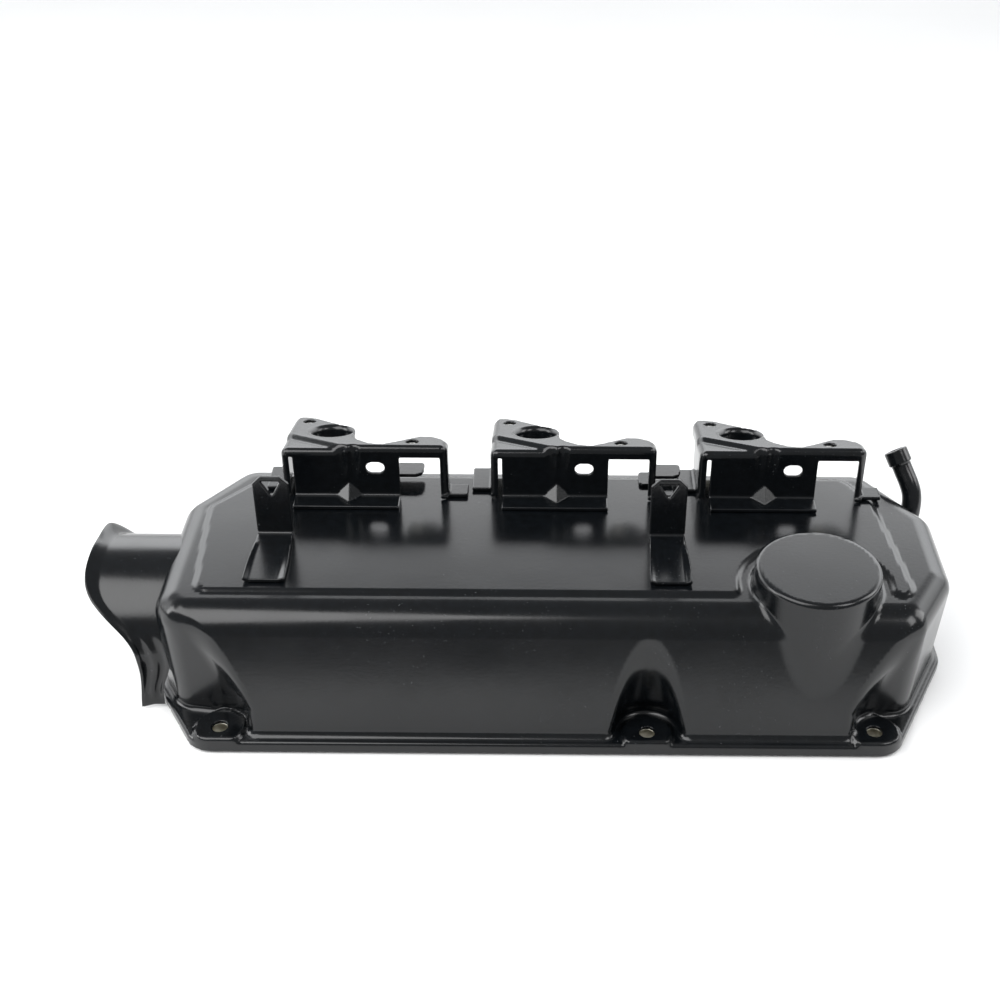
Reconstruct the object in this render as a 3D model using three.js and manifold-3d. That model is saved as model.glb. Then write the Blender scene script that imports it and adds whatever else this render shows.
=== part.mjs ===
// Camshaft cover for one bank of a three-cylinder-per-bank engine, as an assembly.
// A deep-drawn sheet-steel shell stands on a flange with a turned-down lip. A half-round
// cowl closes its left end, three folded ignition-coil brackets and two loom tabs stand on
// its roof, and a breather tube leaves the rear right corner.
// Millimetres, +Z up, +X along the cover to the right, -Y to the front. The origin is under
// the middle of the whole assembly, at the sealing face of the gasket.

import * as THREE from "three";
import { mergeVertices } from "three/addons/utils/BufferGeometryUtils.js";
import Module from "manifold-3d";

const wasm = await Module();
wasm.setup();

// ---------------------------------------------------------------- driving dimensions
const fitGap = 0.3; // clearance between pieces that touch

const flangeLength = 400;
const flangeWidth = 172;
const sheet = 1.5; // thickness of the drawn steel
const lipBottom = 1; // the lip stops short of the sealing face
const flangeTop = 7;
const flangeCornerRadius = 14;
const frontLeftChamfer = [25, 42];
const flangeChamfer = [34, 67]; // the other three corners

const roofHeight = 70;
const roofFillet = 12;
const wallFootInset = 4.5; // from the lip's outer face to the foot of the wall
const leftWallInset = 6.5; // at the roof
const rightWallInset = wallFootInset; // the right end wall stands upright
const sideWallInset = 21; // at the roof, front and rear, so the long walls lean in
const wallCornerRadius = 9;
const roofChamfers = {
  frontLeft: [10, 12],
  frontRight: [20, 34],
  rearRight: [29, 43],
  rearLeft: [26, 36],
};

const panelRise = 1.2; // step of the raised roof panel
const panelFrontSetback = 16.5; // behind the roof's front edge
const panelRearSetback = 12;
const panelEndSetback = 20;
const panelCornerCuts = [20, 30]; // along the cover and across it, at the rear corners
const panelCornerRadius = 6;

const bossRadius = 30.5;
const bossRise = 13; // boss top above the roof
const bossEndDistance = 74; // boss axis from the flange's right end
const bossSetback = 43.5; // boss axis behind the lip's front face

const nearBoltInset = 37; // front left bolt, from the flange's end
const farBoltInset = 44; // the other three end bolts
const middleBoltX = 45; // front row; the rear row is turned half a turn
const endBoltSetback = 9.3;
const middleBoltSetback = 7.6;
const boltHoleRadius = 3.8;
const padRadius = 12.5;
const padRise = 2.3;
const pocketRadius = 12; // room for a socket round each bolt
const frontPocketDepth = 12; // behind the bolt's axis, at the corners
const rearPocketDepth = 17;
const pocketSplay = 9; // the corner pockets deepen outwards by this much

const bushOuterRadius = 5.6;
const gasketInset = 1.8;
const gasketWidth = 4;

const hoodCrownDrop = 2; // crown of the half-round arch below the roof
const hoodSheet = 1.5;
const hoodRadius = 42; // outside of the arch
const hoodAxisSetback = 75; // behind the lip's front face
const hoodFootHeight = 2;
const hoodFlare = 2; // how far the rim stands out from the arch
const hoodFlareLength = 7;
const hoodTip = { along: 0.27, spread: 0.22, rise: 3.5 }; // the rim curls up behind the crown
const hoodSeamGap = 1; // between the cowl's edge and the wall it is welded to
const hoodFlangeGap = 0.8; // the legs stand this far outside the flange
const hoodSeamFree = 9; // below this height the legs are free of the wall
const hoodSeamHeld = 30; // above this height the cowl meets the wall

const bracketPitch = 108;
const middleBracketX = -25; // rear coil screw of the middle bracket
const bracketSheet = 2;
const bracketHeight = 32;
const bracketTilt = 15; // degrees that the coil plate falls to the rear
const bracketSetback = 117; // front face behind the lip's front face
const coilScrewRadius = 3.3;
const rearScrew = [0, 45];
const frontScrew = [58.5, 8.6];
const bootHole = [14.5, 28];
const bootRadius = 10;
const bootCollarDepth = 6;
const faceLeft = -3; // the bracket's front face runs between these
const faceRight = 52;
const plateLeft = -9;
const plateRight = 77;
const fasciaDepth = 7;
const footReach = 11;
const sideFootReach = 10;
const leftFootSpan = [7, 27]; // front and rear edge of the left leg's foot
const rightFootSpan = [1, 11];
const leftLegDepth = 30;
const rightLegDepth = 11;
const clipSlot = { x: 39.5, drop: 13.5, length: 9, width: 6.4 }; // in the front face, below the fold
const nutAcrossFlats = 9;
const nutHeight = 4.5;
const nutBoreRadius = 2.55;

const tabWidth = 18;
const tabHeight = 35;
const tabFoot = 39;
const tabSheet = 2;
const tabSetback = 82; // the upright's front face behind the lip's front face
const tabCentres = [-141, 56];

const clipLength = 22;
const clipWidth = 12;
const clipRise = 5;
const clipSheet = 1.5;
const clipFoot = 8;
const clipCentres = [-81, 55];
const clipSetback = 129.5;

const tubeRadius = 5.2;
const tubeBore = 3.8;
const beadRadius = 6.3;
const beadLength = 8;
const tubeRootDepth = 3; // how far the tube reaches through the wall
const collarRadius = 9;
const collarThickness = 2.5;
const tubeRootInset = 44; // tube root in front of the lip's rear face
const tubeRootDrop = 20; // below the roof

const tubeBend = [
  // from the root: aside, to the rear, up
  [7, 3.5, 1.5],
  [8.6, 6, 7.5],
  [8.6, 9, 13.5],
  [7.2, 11.5, 18],
  [4.2, 16, 24],
  [-0.4, 22, 33],
];

const baffleLength = 150;
const baffleWidth = 70;
const baffleDepth = 16;
const baffleSheet = 1;
const baffleRim = 7;
const baffleCornerRadius = 10;
const baffleDrainRadius = 4;
const baffleEndDistance = 130; // middle of the baffle from the flange's right end
const baffleOffset = 12; // behind the middle of the cover

// ---------------------------------------------------------------- finishes
const blackPaint = { color: 0x1b1d20, roughness: 0.32, metalness: 0.0 };
const blackPaintFolded = { color: 0x1f2124, roughness: 0.38, metalness: 0.0 };
const nitrileRubber = { color: 0x2a2928, roughness: 0.85, metalness: 0.0 };
const zincPlate = { color: 0xa9a79c, roughness: 0.35, metalness: 1.0 };
const bareSteel = { color: 0x6f7274, roughness: 0.5, metalness: 1.0 };

// ---------------------------------------------------------------- solids
function solidOf(geometry) {
  const bare = geometry.index ? geometry.toNonIndexed() : geometry.clone();
  bare.deleteAttribute("normal");
  bare.deleteAttribute("uv");
  const merged = mergeVertices(bare, 1e-4);
  return new wasm.Manifold(
    new wasm.Mesh({
      numProp: 3,
      vertProperties: merged.attributes.position.array,
      triVerts: new Uint32Array(merged.index.array),
    }),
  );
}

function geometryOf(solid) {
  const mesh = solid.getMesh();
  const geometry = new THREE.BufferGeometry();
  geometry.setAttribute("position", new THREE.BufferAttribute(mesh.vertProperties, 3));
  geometry.setIndex(new THREE.BufferAttribute(mesh.triVerts, 1));
  return geometry;
}

function joined(first, ...others) {
  return others.reduce((whole, next) => whole.add(next), first);
}

function cut(body, ...tools) {
  return tools.reduce((left, tool) => left.subtract(tool), body);
}

function shapeOf(outline, holes = []) {
  const shape = new THREE.Shape(outline.map(([x, y]) => new THREE.Vector2(x, y)));
  shape.holes = holes.map((hole) => new THREE.Path(hole.map(([x, y]) => new THREE.Vector2(x, y))));
  return shape;
}

function prismGeometry(outline, low, high, holes = []) {
  const options = { depth: high - low, bevelEnabled: false };
  return new THREE.ExtrudeGeometry(shapeOf(outline, holes), options).translate(0, 0, low);
}

function prism(outline, low, high, holes = []) {
  return solidOf(prismGeometry(outline, low, high, holes));
}

function block([x0, y0, z0], [x1, y1, z1]) {
  const box = new THREE.BoxGeometry(x1 - x0, y1 - y0, z1 - z0);
  return solidOf(box.translate((x0 + x1) / 2, (y0 + y1) / 2, (z0 + z1) / 2));
}

function circle(x, y, radius, steps = 24, turn = 0) {
  return Array.from({ length: steps }, (_, i) => {
    const angle = turn + (2 * Math.PI * i) / steps;
    return [x + radius * Math.cos(angle), y + radius * Math.sin(angle)];
  });
}

function disc(x, y, radius, low, high, steps = 24) {
  return prism(circle(x, y, radius, steps), low, high);
}

// A rectangle with its four corners cut off, anticlockwise from the front left.
function chamferedRectangle(halfLength, halfWidth, frontLeft, frontRight, rearRight, rearLeft) {
  return [
    [-halfLength + frontLeft[0], -halfWidth],
    [halfLength - frontRight[0], -halfWidth],
    [halfLength, -halfWidth + frontRight[1]],
    [halfLength, halfWidth - rearRight[1]],
    [halfLength - rearRight[0], halfWidth],
    [-halfLength + rearLeft[0], halfWidth],
    [-halfLength, halfWidth - rearLeft[1]],
    [-halfLength, -halfWidth + frontLeft[1]],
  ];
}

// Moves every side of a convex anticlockwise outline inwards by distance.
function inset(corners, distance) {
  const count = corners.length;
  const sides = corners.map(([x, y], i) => {
    const [nextX, nextY] = corners[(i + 1) % count];
    const length = Math.hypot(nextX - x, nextY - y);
    const direction = [(nextX - x) / length, (nextY - y) / length];
    const start = [x - direction[1] * distance, y + direction[0] * distance];
    return { start, direction };
  });
  return sides.map(({ start, direction }, i) => {
    const before = sides[(i + count - 1) % count];
    const crossing = before.direction[0] * direction[1] - before.direction[1] * direction[0];
    const dx = start[0] - before.start[0];
    const dy = start[1] - before.start[1];
    const along = (dx * direction[1] - dy * direction[0]) / crossing;
    return [
      before.start[0] + before.direction[0] * along,
      before.start[1] + before.direction[1] * along,
    ];
  });
}

// Rounds each corner with a quadratic curve that leaves the sides radius * tan(half turn) away.
function rounded(corners, radius, steps = 4) {
  const count = corners.length;
  return corners.flatMap((corner, i) => {
    const before = new THREE.Vector2(...corners[(i + count - 1) % count]);
    const here = new THREE.Vector2(...corner);
    const after = new THREE.Vector2(...corners[(i + 1) % count]);
    const toBefore = before.clone().sub(here);
    const toAfter = after.clone().sub(here);
    const halfTurn = (Math.PI - Math.abs(toBefore.angleTo(toAfter))) / 2;
    const reach = Math.min(
      radius * Math.tan(halfTurn),
      toBefore.length() * 0.45,
      toAfter.length() * 0.45,
    );
    const curve = new THREE.QuadraticBezierCurve(
      here.clone().add(toBefore.setLength(reach)),
      here,
      here.clone().add(toAfter.setLength(reach)),
    );
    return curve.getPoints(steps).map((point) => [point.x, point.y]);
  });
}

// A closed solid through rings of equally many points, each ring at its own height.
function loft(rings) {
  const count = rings[0].points.length;
  const positions = rings.flatMap(({ z, points }) => points.flatMap(([x, y]) => [x, y, z]));
  const index = [];
  for (let ring = 0; ring + 1 < rings.length; ring++) {
    for (let i = 0; i < count; i++) {
      const a = ring * count + i;
      const b = ring * count + ((i + 1) % count);
      index.push(a, b, b + count, a, b + count, a + count);
    }
  }
  const cap = (ring, faceUp) => {
    const contour = rings[ring].points.map(([x, y]) => new THREE.Vector2(x, y));
    for (const [a, b, c] of THREE.ShapeUtils.triangulateShape(contour, [])) {
      const corners = faceUp ? [a, b, c] : [c, b, a];
      index.push(...corners.map((corner) => ring * count + corner));
    }
  };
  cap(0, false);
  cap(rings.length - 1, true);
  const geometry = new THREE.BufferGeometry();
  geometry.setAttribute("position", new THREE.Float32BufferAttribute(positions, 3));
  geometry.setIndex(index);
  return geometry;
}

// ---------------------------------------------------------------- outlines of the cover
const halfLength = flangeLength / 2;
const halfWidth = flangeWidth / 2;
const belowAll = -1; // tools for cutting start under the sealing face
const flangeCorners = chamferedRectangle(
  halfLength,
  halfWidth,
  frontLeftChamfer,
  flangeChamfer,
  flangeChamfer,
  flangeChamfer,
);
const footCorners = inset(flangeCorners, wallFootInset);
const roofCorners = chamferedRectangle(
  halfLength - (leftWallInset + rightWallInset) / 2,
  halfWidth - sideWallInset,
  roofChamfers.frontLeft,
  roofChamfers.frontRight,
  roofChamfers.rearRight,
  roofChamfers.rearLeft,
).map(([x, y]) => [x + (leftWallInset - rightWallInset) / 2, y]);

function wallCorners(z) {
  const share = Math.max(0, (z - flangeTop) / (roofHeight - flangeTop));
  return footCorners.map(([x, y], i) => [
    THREE.MathUtils.lerp(x, roofCorners[i][0], share),
    THREE.MathUtils.lerp(y, roofCorners[i][1], share),
  ]);
}

// The x of an outline's left side at a given y.
function leftSideX(corners, y) {
  const reaches = corners.map(([x, cornerY], i) => {
    const [nextX, nextY] = corners[(i + 1) % corners.length];
    const share = (y - cornerY) / (nextY - cornerY);
    return share >= 0 && share <= 1 ? THREE.MathUtils.lerp(x, nextX, share) : Infinity;
  });
  return Math.min(...reaches);
}

const flangeOutline = (distance) => rounded(inset(flangeCorners, distance), flangeCornerRadius - distance);

// ---------------------------------------------------------------- bolts and their pockets
const nearBoltX = halfLength - nearBoltInset;
const farBoltX = halfLength - farBoltInset;
const pocketRun = 1.5 * farBoltInset;
const boltRows = [
  { name: "front", side: -1, bolts: [-nearBoltX, middleBoltX, farBoltX] },
  { name: "rear", side: 1, bolts: [-farBoltX, -middleBoltX, farBoltX] },
];
const bolts = boltRows.flatMap(({ name, side, bolts: row }) =>
  row.map((x, i) => {
    const end = i !== 1;
    const setback = end ? endBoltSetback : middleBoltSetback;
    const place = ["left", "middle", "right"][i];
    return { name: `${name}_${place}`, x, y: side * (halfWidth - setback), side, end };
  }),
);

// Plan of the recess that leaves room round a bolt; grown by the sheet it is the recess's skin.
function pocketOutline({ x, y, side, end }, grow) {
  const radius = pocketRadius + grow;
  const outside = halfWidth;
  if (!end) {
    const arc = circle(0, 0, radius, 24).filter(([, v]) => v > -1e-6);
    return [[radius, -outside], ...arc, [-radius, -outside]].map(([u, v]) => [x + u, y - side * v]);
  }
  const depth = (side < 0 ? frontPocketDepth : rearPocketDepth) + grow;
  const outward = Math.sign(x);
  const arc = circle(0, depth - radius, radius, 24).filter(([u, v]) => u < 1e-6 && v > depth - radius - 1e-6);
  const outline = [[pocketRun, -outside], [pocketRun, depth + pocketSplay], ...arc, [-radius, -outside]];
  return outline.map(([u, v]) => [x + outward * u, y - side * v]);
}

// ---------------------------------------------------------------- drawn shell
const bossX = halfLength - bossEndDistance;
const bossHeight = roofHeight + bossRise;

// The cover's body as a solid block, or with grow set to the sheet the room inside it.
function bodySolid(grow) {
  const top = roofHeight - grow;
  const fillet = roofFillet - grow;
  const floor = grow ? belowAll : flangeTop - 1;
  const level = (z, setIn) => ({
    z,
    points: rounded(inset(wallCorners(z), grow + setIn), wallCornerRadius),
  });
  const arcSteps = 5;
  const rings = [level(floor, 0), level(flangeTop, 0)];
  for (let i = 0; i <= arcSteps; i++) {
    const angle = (Math.PI / 2) * (i / arcSteps);
    rings.push(level(top - fillet + fillet * Math.sin(angle), fillet * (1 - Math.cos(angle))));
  }
  const boss = disc(bossX, bossSetback - halfWidth, bossRadius - grow, roofHeight / 2, bossHeight - grow, 40);
  const bossBelow = prism(rounded(inset(wallCorners(flangeTop), grow), wallCornerRadius), floor, bossHeight);
  const pocketFloor = grow ? 2 * belowAll : flangeTop;
  const pockets = bolts.map((bolt) => prism(pocketOutline(bolt, grow), pocketFloor, bossHeight + 1));
  return cut(joined(solidOf(loft(rings)), boss.intersect(bossBelow)), ...pockets);
}

function panelOutline() {
  const front = -halfWidth + sideWallInset + panelFrontSetback;
  const rear = halfWidth - sideWallInset - panelRearSetback;
  const end = halfLength - leftWallInset - panelEndSetback;
  const [along, across] = panelCornerCuts;
  const corners = [
    [-end, front],
    [end, front],
    [end - 0.4 * along, rear - 0.7 * across],
    [end - along, rear],
    [-end + along, rear],
    [-end - 0.3 * along, rear - across],
  ];
  return rounded(corners, panelCornerRadius, 3);
}

function coverShell() {
  const lip = prism(flangeOutline(0), lipBottom, flangeTop);
  const channel = prism(flangeOutline(sheet), 0, flangeTop - sheet);
  const padBlank = prism(flangeOutline(sheet / 2), flangeTop - sheet, flangeTop + padRise);
  const underPad = prism(flangeOutline(sheet), 0, flangeTop + padRise - sheet);
  const panel = prism(panelOutline(), roofHeight - sheet, roofHeight + panelRise);
  const inside = bodySolid(sheet);
  const pads = bolts.map(({ x, y }) => disc(x, y, padRadius, 0, flangeTop + padRise).intersect(padBlank));
  const padRooms = bolts.map(({ x, y }) =>
    disc(x, y, padRadius - sheet, 0, flangeTop + padRise).intersect(underPad),
  );
  const holes = bolts.map(({ x, y }) => disc(x, y, boltHoleRadius, 0, flangeTop + padRise + 1));
  const outside = joined(lip.subtract(channel), bodySolid(0), panel, ...pads);
  const tubeWay = tubeRootTool(tubeRadius + fitGap, -10, 10);
  return cut(outside, inside, ...padRooms, ...holes, tubeWay);
}

function gasket() {
  const outer = prism(flangeOutline(gasketInset), 0, flangeTop - sheet - fitGap);
  const inner = prism(flangeOutline(gasketInset + gasketWidth), belowAll, flangeTop);
  const lobes = bolts.map(({ x, y }) =>
    disc(x, y, padRadius - sheet - fitGap, 0, flangeTop - sheet - fitGap).intersect(outer),
  );
  const bushWays = bolts.map(({ x, y }) => disc(x, y, bushOuterRadius + fitGap, belowAll, flangeTop));
  return cut(joined(outer.subtract(inner), ...lobes), ...bushWays);
}

function bushGeometry() {
  const top = flangeTop + padRise - sheet - fitGap;
  const ring = [
    [boltHoleRadius, fitGap],
    [bushOuterRadius, fitGap],
    [bushOuterRadius, top],
    [boltHoleRadius, top],
    [boltHoleRadius, fitGap],
  ];
  const profile = ring.map(([radius, z]) => new THREE.Vector2(radius, z));
  return new THREE.LatheGeometry(profile, 24).rotateX(Math.PI / 2);
}

function baffle() {
  const top = roofHeight - sheet - fitGap;
  const x = halfLength - baffleEndDistance;
  const y = baffleOffset;
  const plan = (grow) => {
    const halfL = baffleLength / 2 + grow;
    const halfW = baffleWidth / 2 + grow;
    const corners = [[-halfL, -halfW], [halfL, -halfW], [halfL, halfW], [-halfL, halfW]];
    return rounded(corners.map(([u, v]) => [x + u, y + v]), baffleCornerRadius + grow);
  };
  const tray = prism(plan(0), top - baffleDepth, top);
  const rim = prism(plan(baffleRim), top - baffleSheet, top);
  const room = prism(plan(-baffleSheet), top - baffleDepth + baffleSheet, top + 1);
  const drain = disc(x - baffleLength / 3, y, baffleDrainRadius, 0, roofHeight);
  return cut(joined(tray, rim), room, drain);
}

// ---------------------------------------------------------------- cam-end cowl
const hoodAxisHeight = roofHeight - hoodCrownDrop - hoodRadius;

// How far the rim stands out past the flange's left end, from the front foot (-1) over the
// crown (0) to the rear foot (1).
const hoodRim = [
  [-1, 7],
  [-0.81, 4.8],
  [-0.7, 4.8],
  [-0.58, 7.5],
  [-0.49, 15.5],
  [-0.4, 24],
  [-0.31, 30],
  [-0.2, 32],
  [0, 31.5],
  [0.29, 30],
  [0.5, 20],
  [0.7, 8],
  [1, 8],
];

function rimReach(along) {
  const next = Math.max(1, hoodRim.findIndex(([place]) => place >= along - 1e-9));
  const [place0, reach0] = hoodRim[next - 1];
  const [place1, reach1] = hoodRim[next];
  return THREE.MathUtils.lerp(reach0, reach1, (along - place0) / (place1 - place0));
}

// How far the roof's fillet draws the wall in at a height.
function filletSetIn(z) {
  const above = Math.max(0, z - roofHeight + roofFillet);
  return roofFillet - Math.sqrt(roofFillet ** 2 - above ** 2);
}

// One station of the cowl at a depth under its outer skin.
function hoodStation(along, depth) {
  const legLength = hoodAxisHeight - hoodFootHeight;
  const half = legLength + (Math.PI / 2) * hoodRadius;
  const travel = Math.abs(along) * half;
  const side = Math.sign(along) || 1;
  const angle = Math.min(travel / hoodRadius, Math.PI / 2);
  const drop = Math.max(0, travel - (Math.PI / 2) * hoodRadius);
  const out = [side * Math.sin(angle), Math.cos(angle)];
  const y = hoodAxisSetback - halfWidth + (hoodRadius - depth) * out[0];
  const z = hoodAxisHeight + (hoodRadius - depth) * out[1] - drop;
  const free = leftSideX(flangeCorners, y) - hoodFlangeGap;
  const held = leftSideX(wallCorners(z), y) + filletSetIn(z) - hoodSeamGap;
  const share = THREE.MathUtils.smoothstep(z, hoodSeamFree, hoodSeamHeld);
  return { y, z, out, seamX: THREE.MathUtils.lerp(free, held, share), rimX: -halfLength - rimReach(along) };
}

// How far the sheet is turned outwards at a distance from the rim.
function hoodRise(along, fromRim) {
  const tip = 1 - THREE.MathUtils.smoothstep(Math.abs(along - hoodTip.along), 0, hoodTip.spread);
  const flare = 1 - THREE.MathUtils.smoothstep(fromRim, 0, hoodFlareLength);
  return (hoodFlare + hoodTip.rise * tip) * flare;
}

function hoodGeometry() {
  const stations = 40;
  const across = 6;
  const row = across + 1;
  const skins = [0, hoodSheet];
  const positions = [];
  for (const depth of skins) {
    for (let i = 0; i <= stations; i++) {
      const along = -1 + (2 * i) / stations;
      const { y, z, out, seamX, rimX } = hoodStation(along, depth);
      for (let j = 0; j <= across; j++) {
        const x = THREE.MathUtils.lerp(seamX, rimX, j / across);
        const rise = hoodRise(along, x - rimX);
        positions.push(x, y + out[0] * rise, z + out[1] * rise);
      }
    }
  }
  const size = (stations + 1) * row;
  const index = [];
  const quad = (a, b, c, d) => index.push(a, c, b, a, d, c);
  for (let i = 0; i < stations; i++) {
    for (let j = 0; j < across; j++) {
      const a = i * row + j;
      quad(a, a + 1, a + row + 1, a + row);
      quad(size + a, size + a + row, size + a + row + 1, size + a + 1);
    }
    const seam = i * row;
    const rim = seam + across;
    quad(seam, seam + row, size + seam + row, size + seam);
    quad(rim, size + rim, size + rim + row, rim + row);
  }
  for (let j = 0; j < across; j++) {
    const last = stations * row + j;
    quad(j, size + j, size + j + 1, j + 1);
    quad(last, last + 1, size + last + 1, size + last);
  }
  const geometry = new THREE.BufferGeometry();
  geometry.setAttribute("position", new THREE.Float32BufferAttribute(positions, 3));
  geometry.setIndex(index);
  return geometry;
}

// ---------------------------------------------------------------- coil brackets
// Local frame: x from the rear coil screw, y to the rear from the front face, z from the roof panel.
const tiltAngle = THREE.MathUtils.degToRad(bracketTilt);
const plateDrop = (y) => y * Math.tan(tiltAngle);

const plateOutline = [
  [plateLeft, 0],
  [plateRight, 0],
  [plateRight, 8],
  [plateRight - 4, 14],
  [plateRight - 9, 18],
  [frontScrew[0] + 3.5, 18.5],
  [frontScrew[0] - 8.5, 9],
  [43, 4],
  [36, 6],
  [30, 12],
  [bootHole[0] + bootRadius + 2.5, 17],
  [bootHole[0] + bootRadius + 1.5, bootHole[1]],
  [bootHole[0] + 6, bootHole[1] + bootRadius],
  [bootHole[0] - 2, bootHole[1] + bootRadius + 5],
  [rearScrew[0] + 3, rearScrew[1] + 6],
  [rearScrew[0] - 2, rearScrew[1] + 8],
  [plateLeft + 3, rearScrew[1] + 8],
  [plateLeft, rearScrew[1] + 4],
];

// Turns a piece made on the level into the plane of the falling plate.
function onPlate(geometry) {
  return geometry.rotateX(-tiltAngle).translate(0, 0, bracketHeight);
}

function sidePlate(x0, x1, y0, y1) {
  const crown = (y) => bracketHeight - plateDrop(y) - bracketSheet / 2;
  const outline = [[y0, 0], [y1, 0], [y1, crown(y1)], [y0, crown(y0)]];
  const upright = prismGeometry(outline, 0, x1 - x0);
  // the outline's (u, v) becomes (y, z) and the extrusion runs along x
  return solidOf(upright.rotateZ(Math.PI / 2).rotateY(Math.PI / 2).translate(x0, 0, 0));
}

// A round-ended tool through the bracket's front face.
function ovalSlot(x, z, length, width) {
  const reach = (length - width) / 2;
  const ends = [1, -1].flatMap((side) =>
    Array.from({ length: 9 }, (_, i) => {
      const angle = -Math.PI / 2 + (Math.PI * i) / 8;
      return [side * (reach + (width / 2) * Math.cos(angle)), side * (width / 2) * Math.sin(angle)];
    }),
  );
  const tool = prismGeometry(ends, -bracketSheet - 1, 1);
  return solidOf(tool.rotateX(Math.PI / 2).translate(x, 0, z));
}

function coilBracket() {
  const holes = [circle(...rearScrew, coilScrewRadius), circle(...frontScrew, coilScrewRadius)];
  const plate = solidOf(onPlate(prismGeometry(plateOutline, -bracketSheet, 0, holes)));
  const collar = onPlate(
    prismGeometry(
      circle(...bootHole, bootRadius + bracketSheet - 0.5, 32),
      -bracketSheet - bootCollarDepth,
      -bracketSheet / 2,
    ),
  );
  const bootWay = onPlate(prismGeometry(circle(...bootHole, bootRadius, 32), -30, 10));
  const face = block([faceLeft, 0, 0], [faceRight, bracketSheet, bracketHeight - 0.5]);
  const fascia = block(
    [plateLeft, 0, bracketHeight - fasciaDepth],
    [plateRight, bracketSheet, bracketHeight - 0.5],
  );
  const frontFoot = block([faceLeft, -footReach, 0], [faceRight, bracketSheet, bracketSheet]);
  const leftLeg = sidePlate(plateLeft, plateLeft + bracketSheet, 1, leftLegDepth);
  const rightLeg = sidePlate(plateRight - bracketSheet, plateRight, 0.5, rightLegDepth);
  const leftFoot = block(
    [plateLeft - sideFootReach, leftFootSpan[0], 0],
    [plateLeft + bracketSheet, leftFootSpan[1], bracketSheet],
  );
  const rightFoot = block(
    [plateRight - bracketSheet, rightFootSpan[0], 0],
    [plateRight + sideFootReach, rightFootSpan[1], bracketSheet],
  );
  const slot = ovalSlot(clipSlot.x, bracketHeight - clipSlot.drop, clipSlot.length, clipSlot.width);
  const body = joined(plate, face, fascia, frontFoot, leftLeg, rightLeg, leftFoot, rightFoot);
  return cut(joined(body, solidOf(collar)), solidOf(bootWay), slot);
}

function weldNut([x, y]) {
  const outer = circle(x, y, nutAcrossFlats / Math.sqrt(3), 6, 0);
  const bore = circle(x, y, nutBoreRadius, 20);
  const top = -bracketSheet - fitGap;
  return onPlate(prismGeometry(outer, top - nutHeight, top, [bore]));
}

// ---------------------------------------------------------------- loom tabs and rear clips
function loomTab() {
  const half = tabWidth / 2;
  const shoulder = 4;
  const upright = [
    [-half, 0],
    [half, 0],
    [half, tabHeight - shoulder],
    [half - shoulder, tabHeight],
    [-half + shoulder, tabHeight],
    [-half, tabHeight - shoulder],
  ];
  const tieHole = [[-5, tabHeight - 2.5], [0, tabHeight - 11.5], [5, tabHeight - 2.5]];
  const plate = prismGeometry(upright, -tabSheet, 0, [tieHole]).rotateX(Math.PI / 2);
  const foot = block([-half - 1, -tabFoot, 0], [half + 1, tabSheet, tabSheet]);
  return joined(solidOf(plate), foot);
}

function rearClip() {
  const half = clipLength / 2;
  const bend = -half + clipFoot - clipSheet;
  const foot = block([-half, 0, 0], [-half + clipFoot, clipWidth, clipSheet]);
  const riser = block([bend, 0, 0], [-half + clipFoot, clipWidth, clipRise + clipSheet]);
  const tongue = prism(
    [
      [bend, 0],
      [half - 4, 0],
      [half - 1, 1.5],
      [half, 5],
      [half, clipWidth],
      [bend, clipWidth],
    ],
    clipRise,
    clipRise + clipSheet,
  );
  return joined(foot, riser, tongue);
}

// ---------------------------------------------------------------- breather tube
// A point of the rear right chamfered wall at a given y and z.
function rearRightWall(y, z) {
  const [[x0, y0], [x1, y1]] = wallCorners(z).slice(3, 5);
  return new THREE.Vector3(THREE.MathUtils.lerp(x0, x1, (y - y0) / (y1 - y0)), y, z);
}

// The tube leaves square to that wall.
const tubeRootY = halfWidth - tubeRootInset;
const tubeRootHeight = roofHeight - tubeRootDrop;
const tubeRoot = rearRightWall(tubeRootY, tubeRootHeight);
const wallRun = rearRightWall(tubeRootY + 1, tubeRootHeight).sub(tubeRoot);
const wallRise = rearRightWall(tubeRootY, tubeRootHeight + 1).sub(tubeRoot);
const tubeDirection = wallRun.cross(wallRise).normalize();

function tubeCurve() {
  const start = [-tubeRootDepth, 2].map((out) => tubeRoot.clone().addScaledVector(tubeDirection, out));
  const bend = tubeBend.map((step) => tubeRoot.clone().add(new THREE.Vector3(...step)));
  return new THREE.CatmullRomCurve3([...start, ...bend], false, "centripetal");
}

// A round rod along part of the tube's centre line, past its ends by overrun.
function alongTube(radius, start, steps, overrun = 0) {
  const curve = tubeCurve();
  const share = (i) => start + ((1 - start) * i) / steps;
  const points = Array.from({ length: steps + 1 }, (_, i) => curve.getPointAt(share(i)));
  if (overrun) {
    points.unshift(points[0].clone().addScaledVector(curve.getTangentAt(start), -overrun));
    points.push(points.at(-1).clone().addScaledVector(curve.getTangentAt(1), overrun));
  }
  const path = new THREE.CatmullRomCurve3(points, false, "centripetal");
  const options = { steps: points.length - 1, extrudePath: path, bevelEnabled: false };
  return solidOf(new THREE.ExtrudeGeometry(shapeOf(circle(0, 0, radius, 12)), options));
}

// A round tool on the axis of the tube's root, from one distance along it to another.
function tubeRootTool(radius, from, to) {
  const tool = new THREE.CylinderGeometry(radius, radius, to - from, 24);
  tool.translate(0, (from + to) / 2, 0);
  const turn = new THREE.Quaternion().setFromUnitVectors(new THREE.Vector3(0, 1, 0), tubeDirection);
  tool.applyQuaternion(turn).translate(...tubeRoot.toArray());
  return solidOf(tool);
}

function breatherTube() {
  const beadStart = 1 - beadLength / tubeCurve().getLength();
  const outside = joined(alongTube(tubeRadius, 0, 12), alongTube(beadRadius, beadStart, 2));
  return outside.subtract(alongTube(tubeBore, 0, 12, 1));
}

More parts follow.
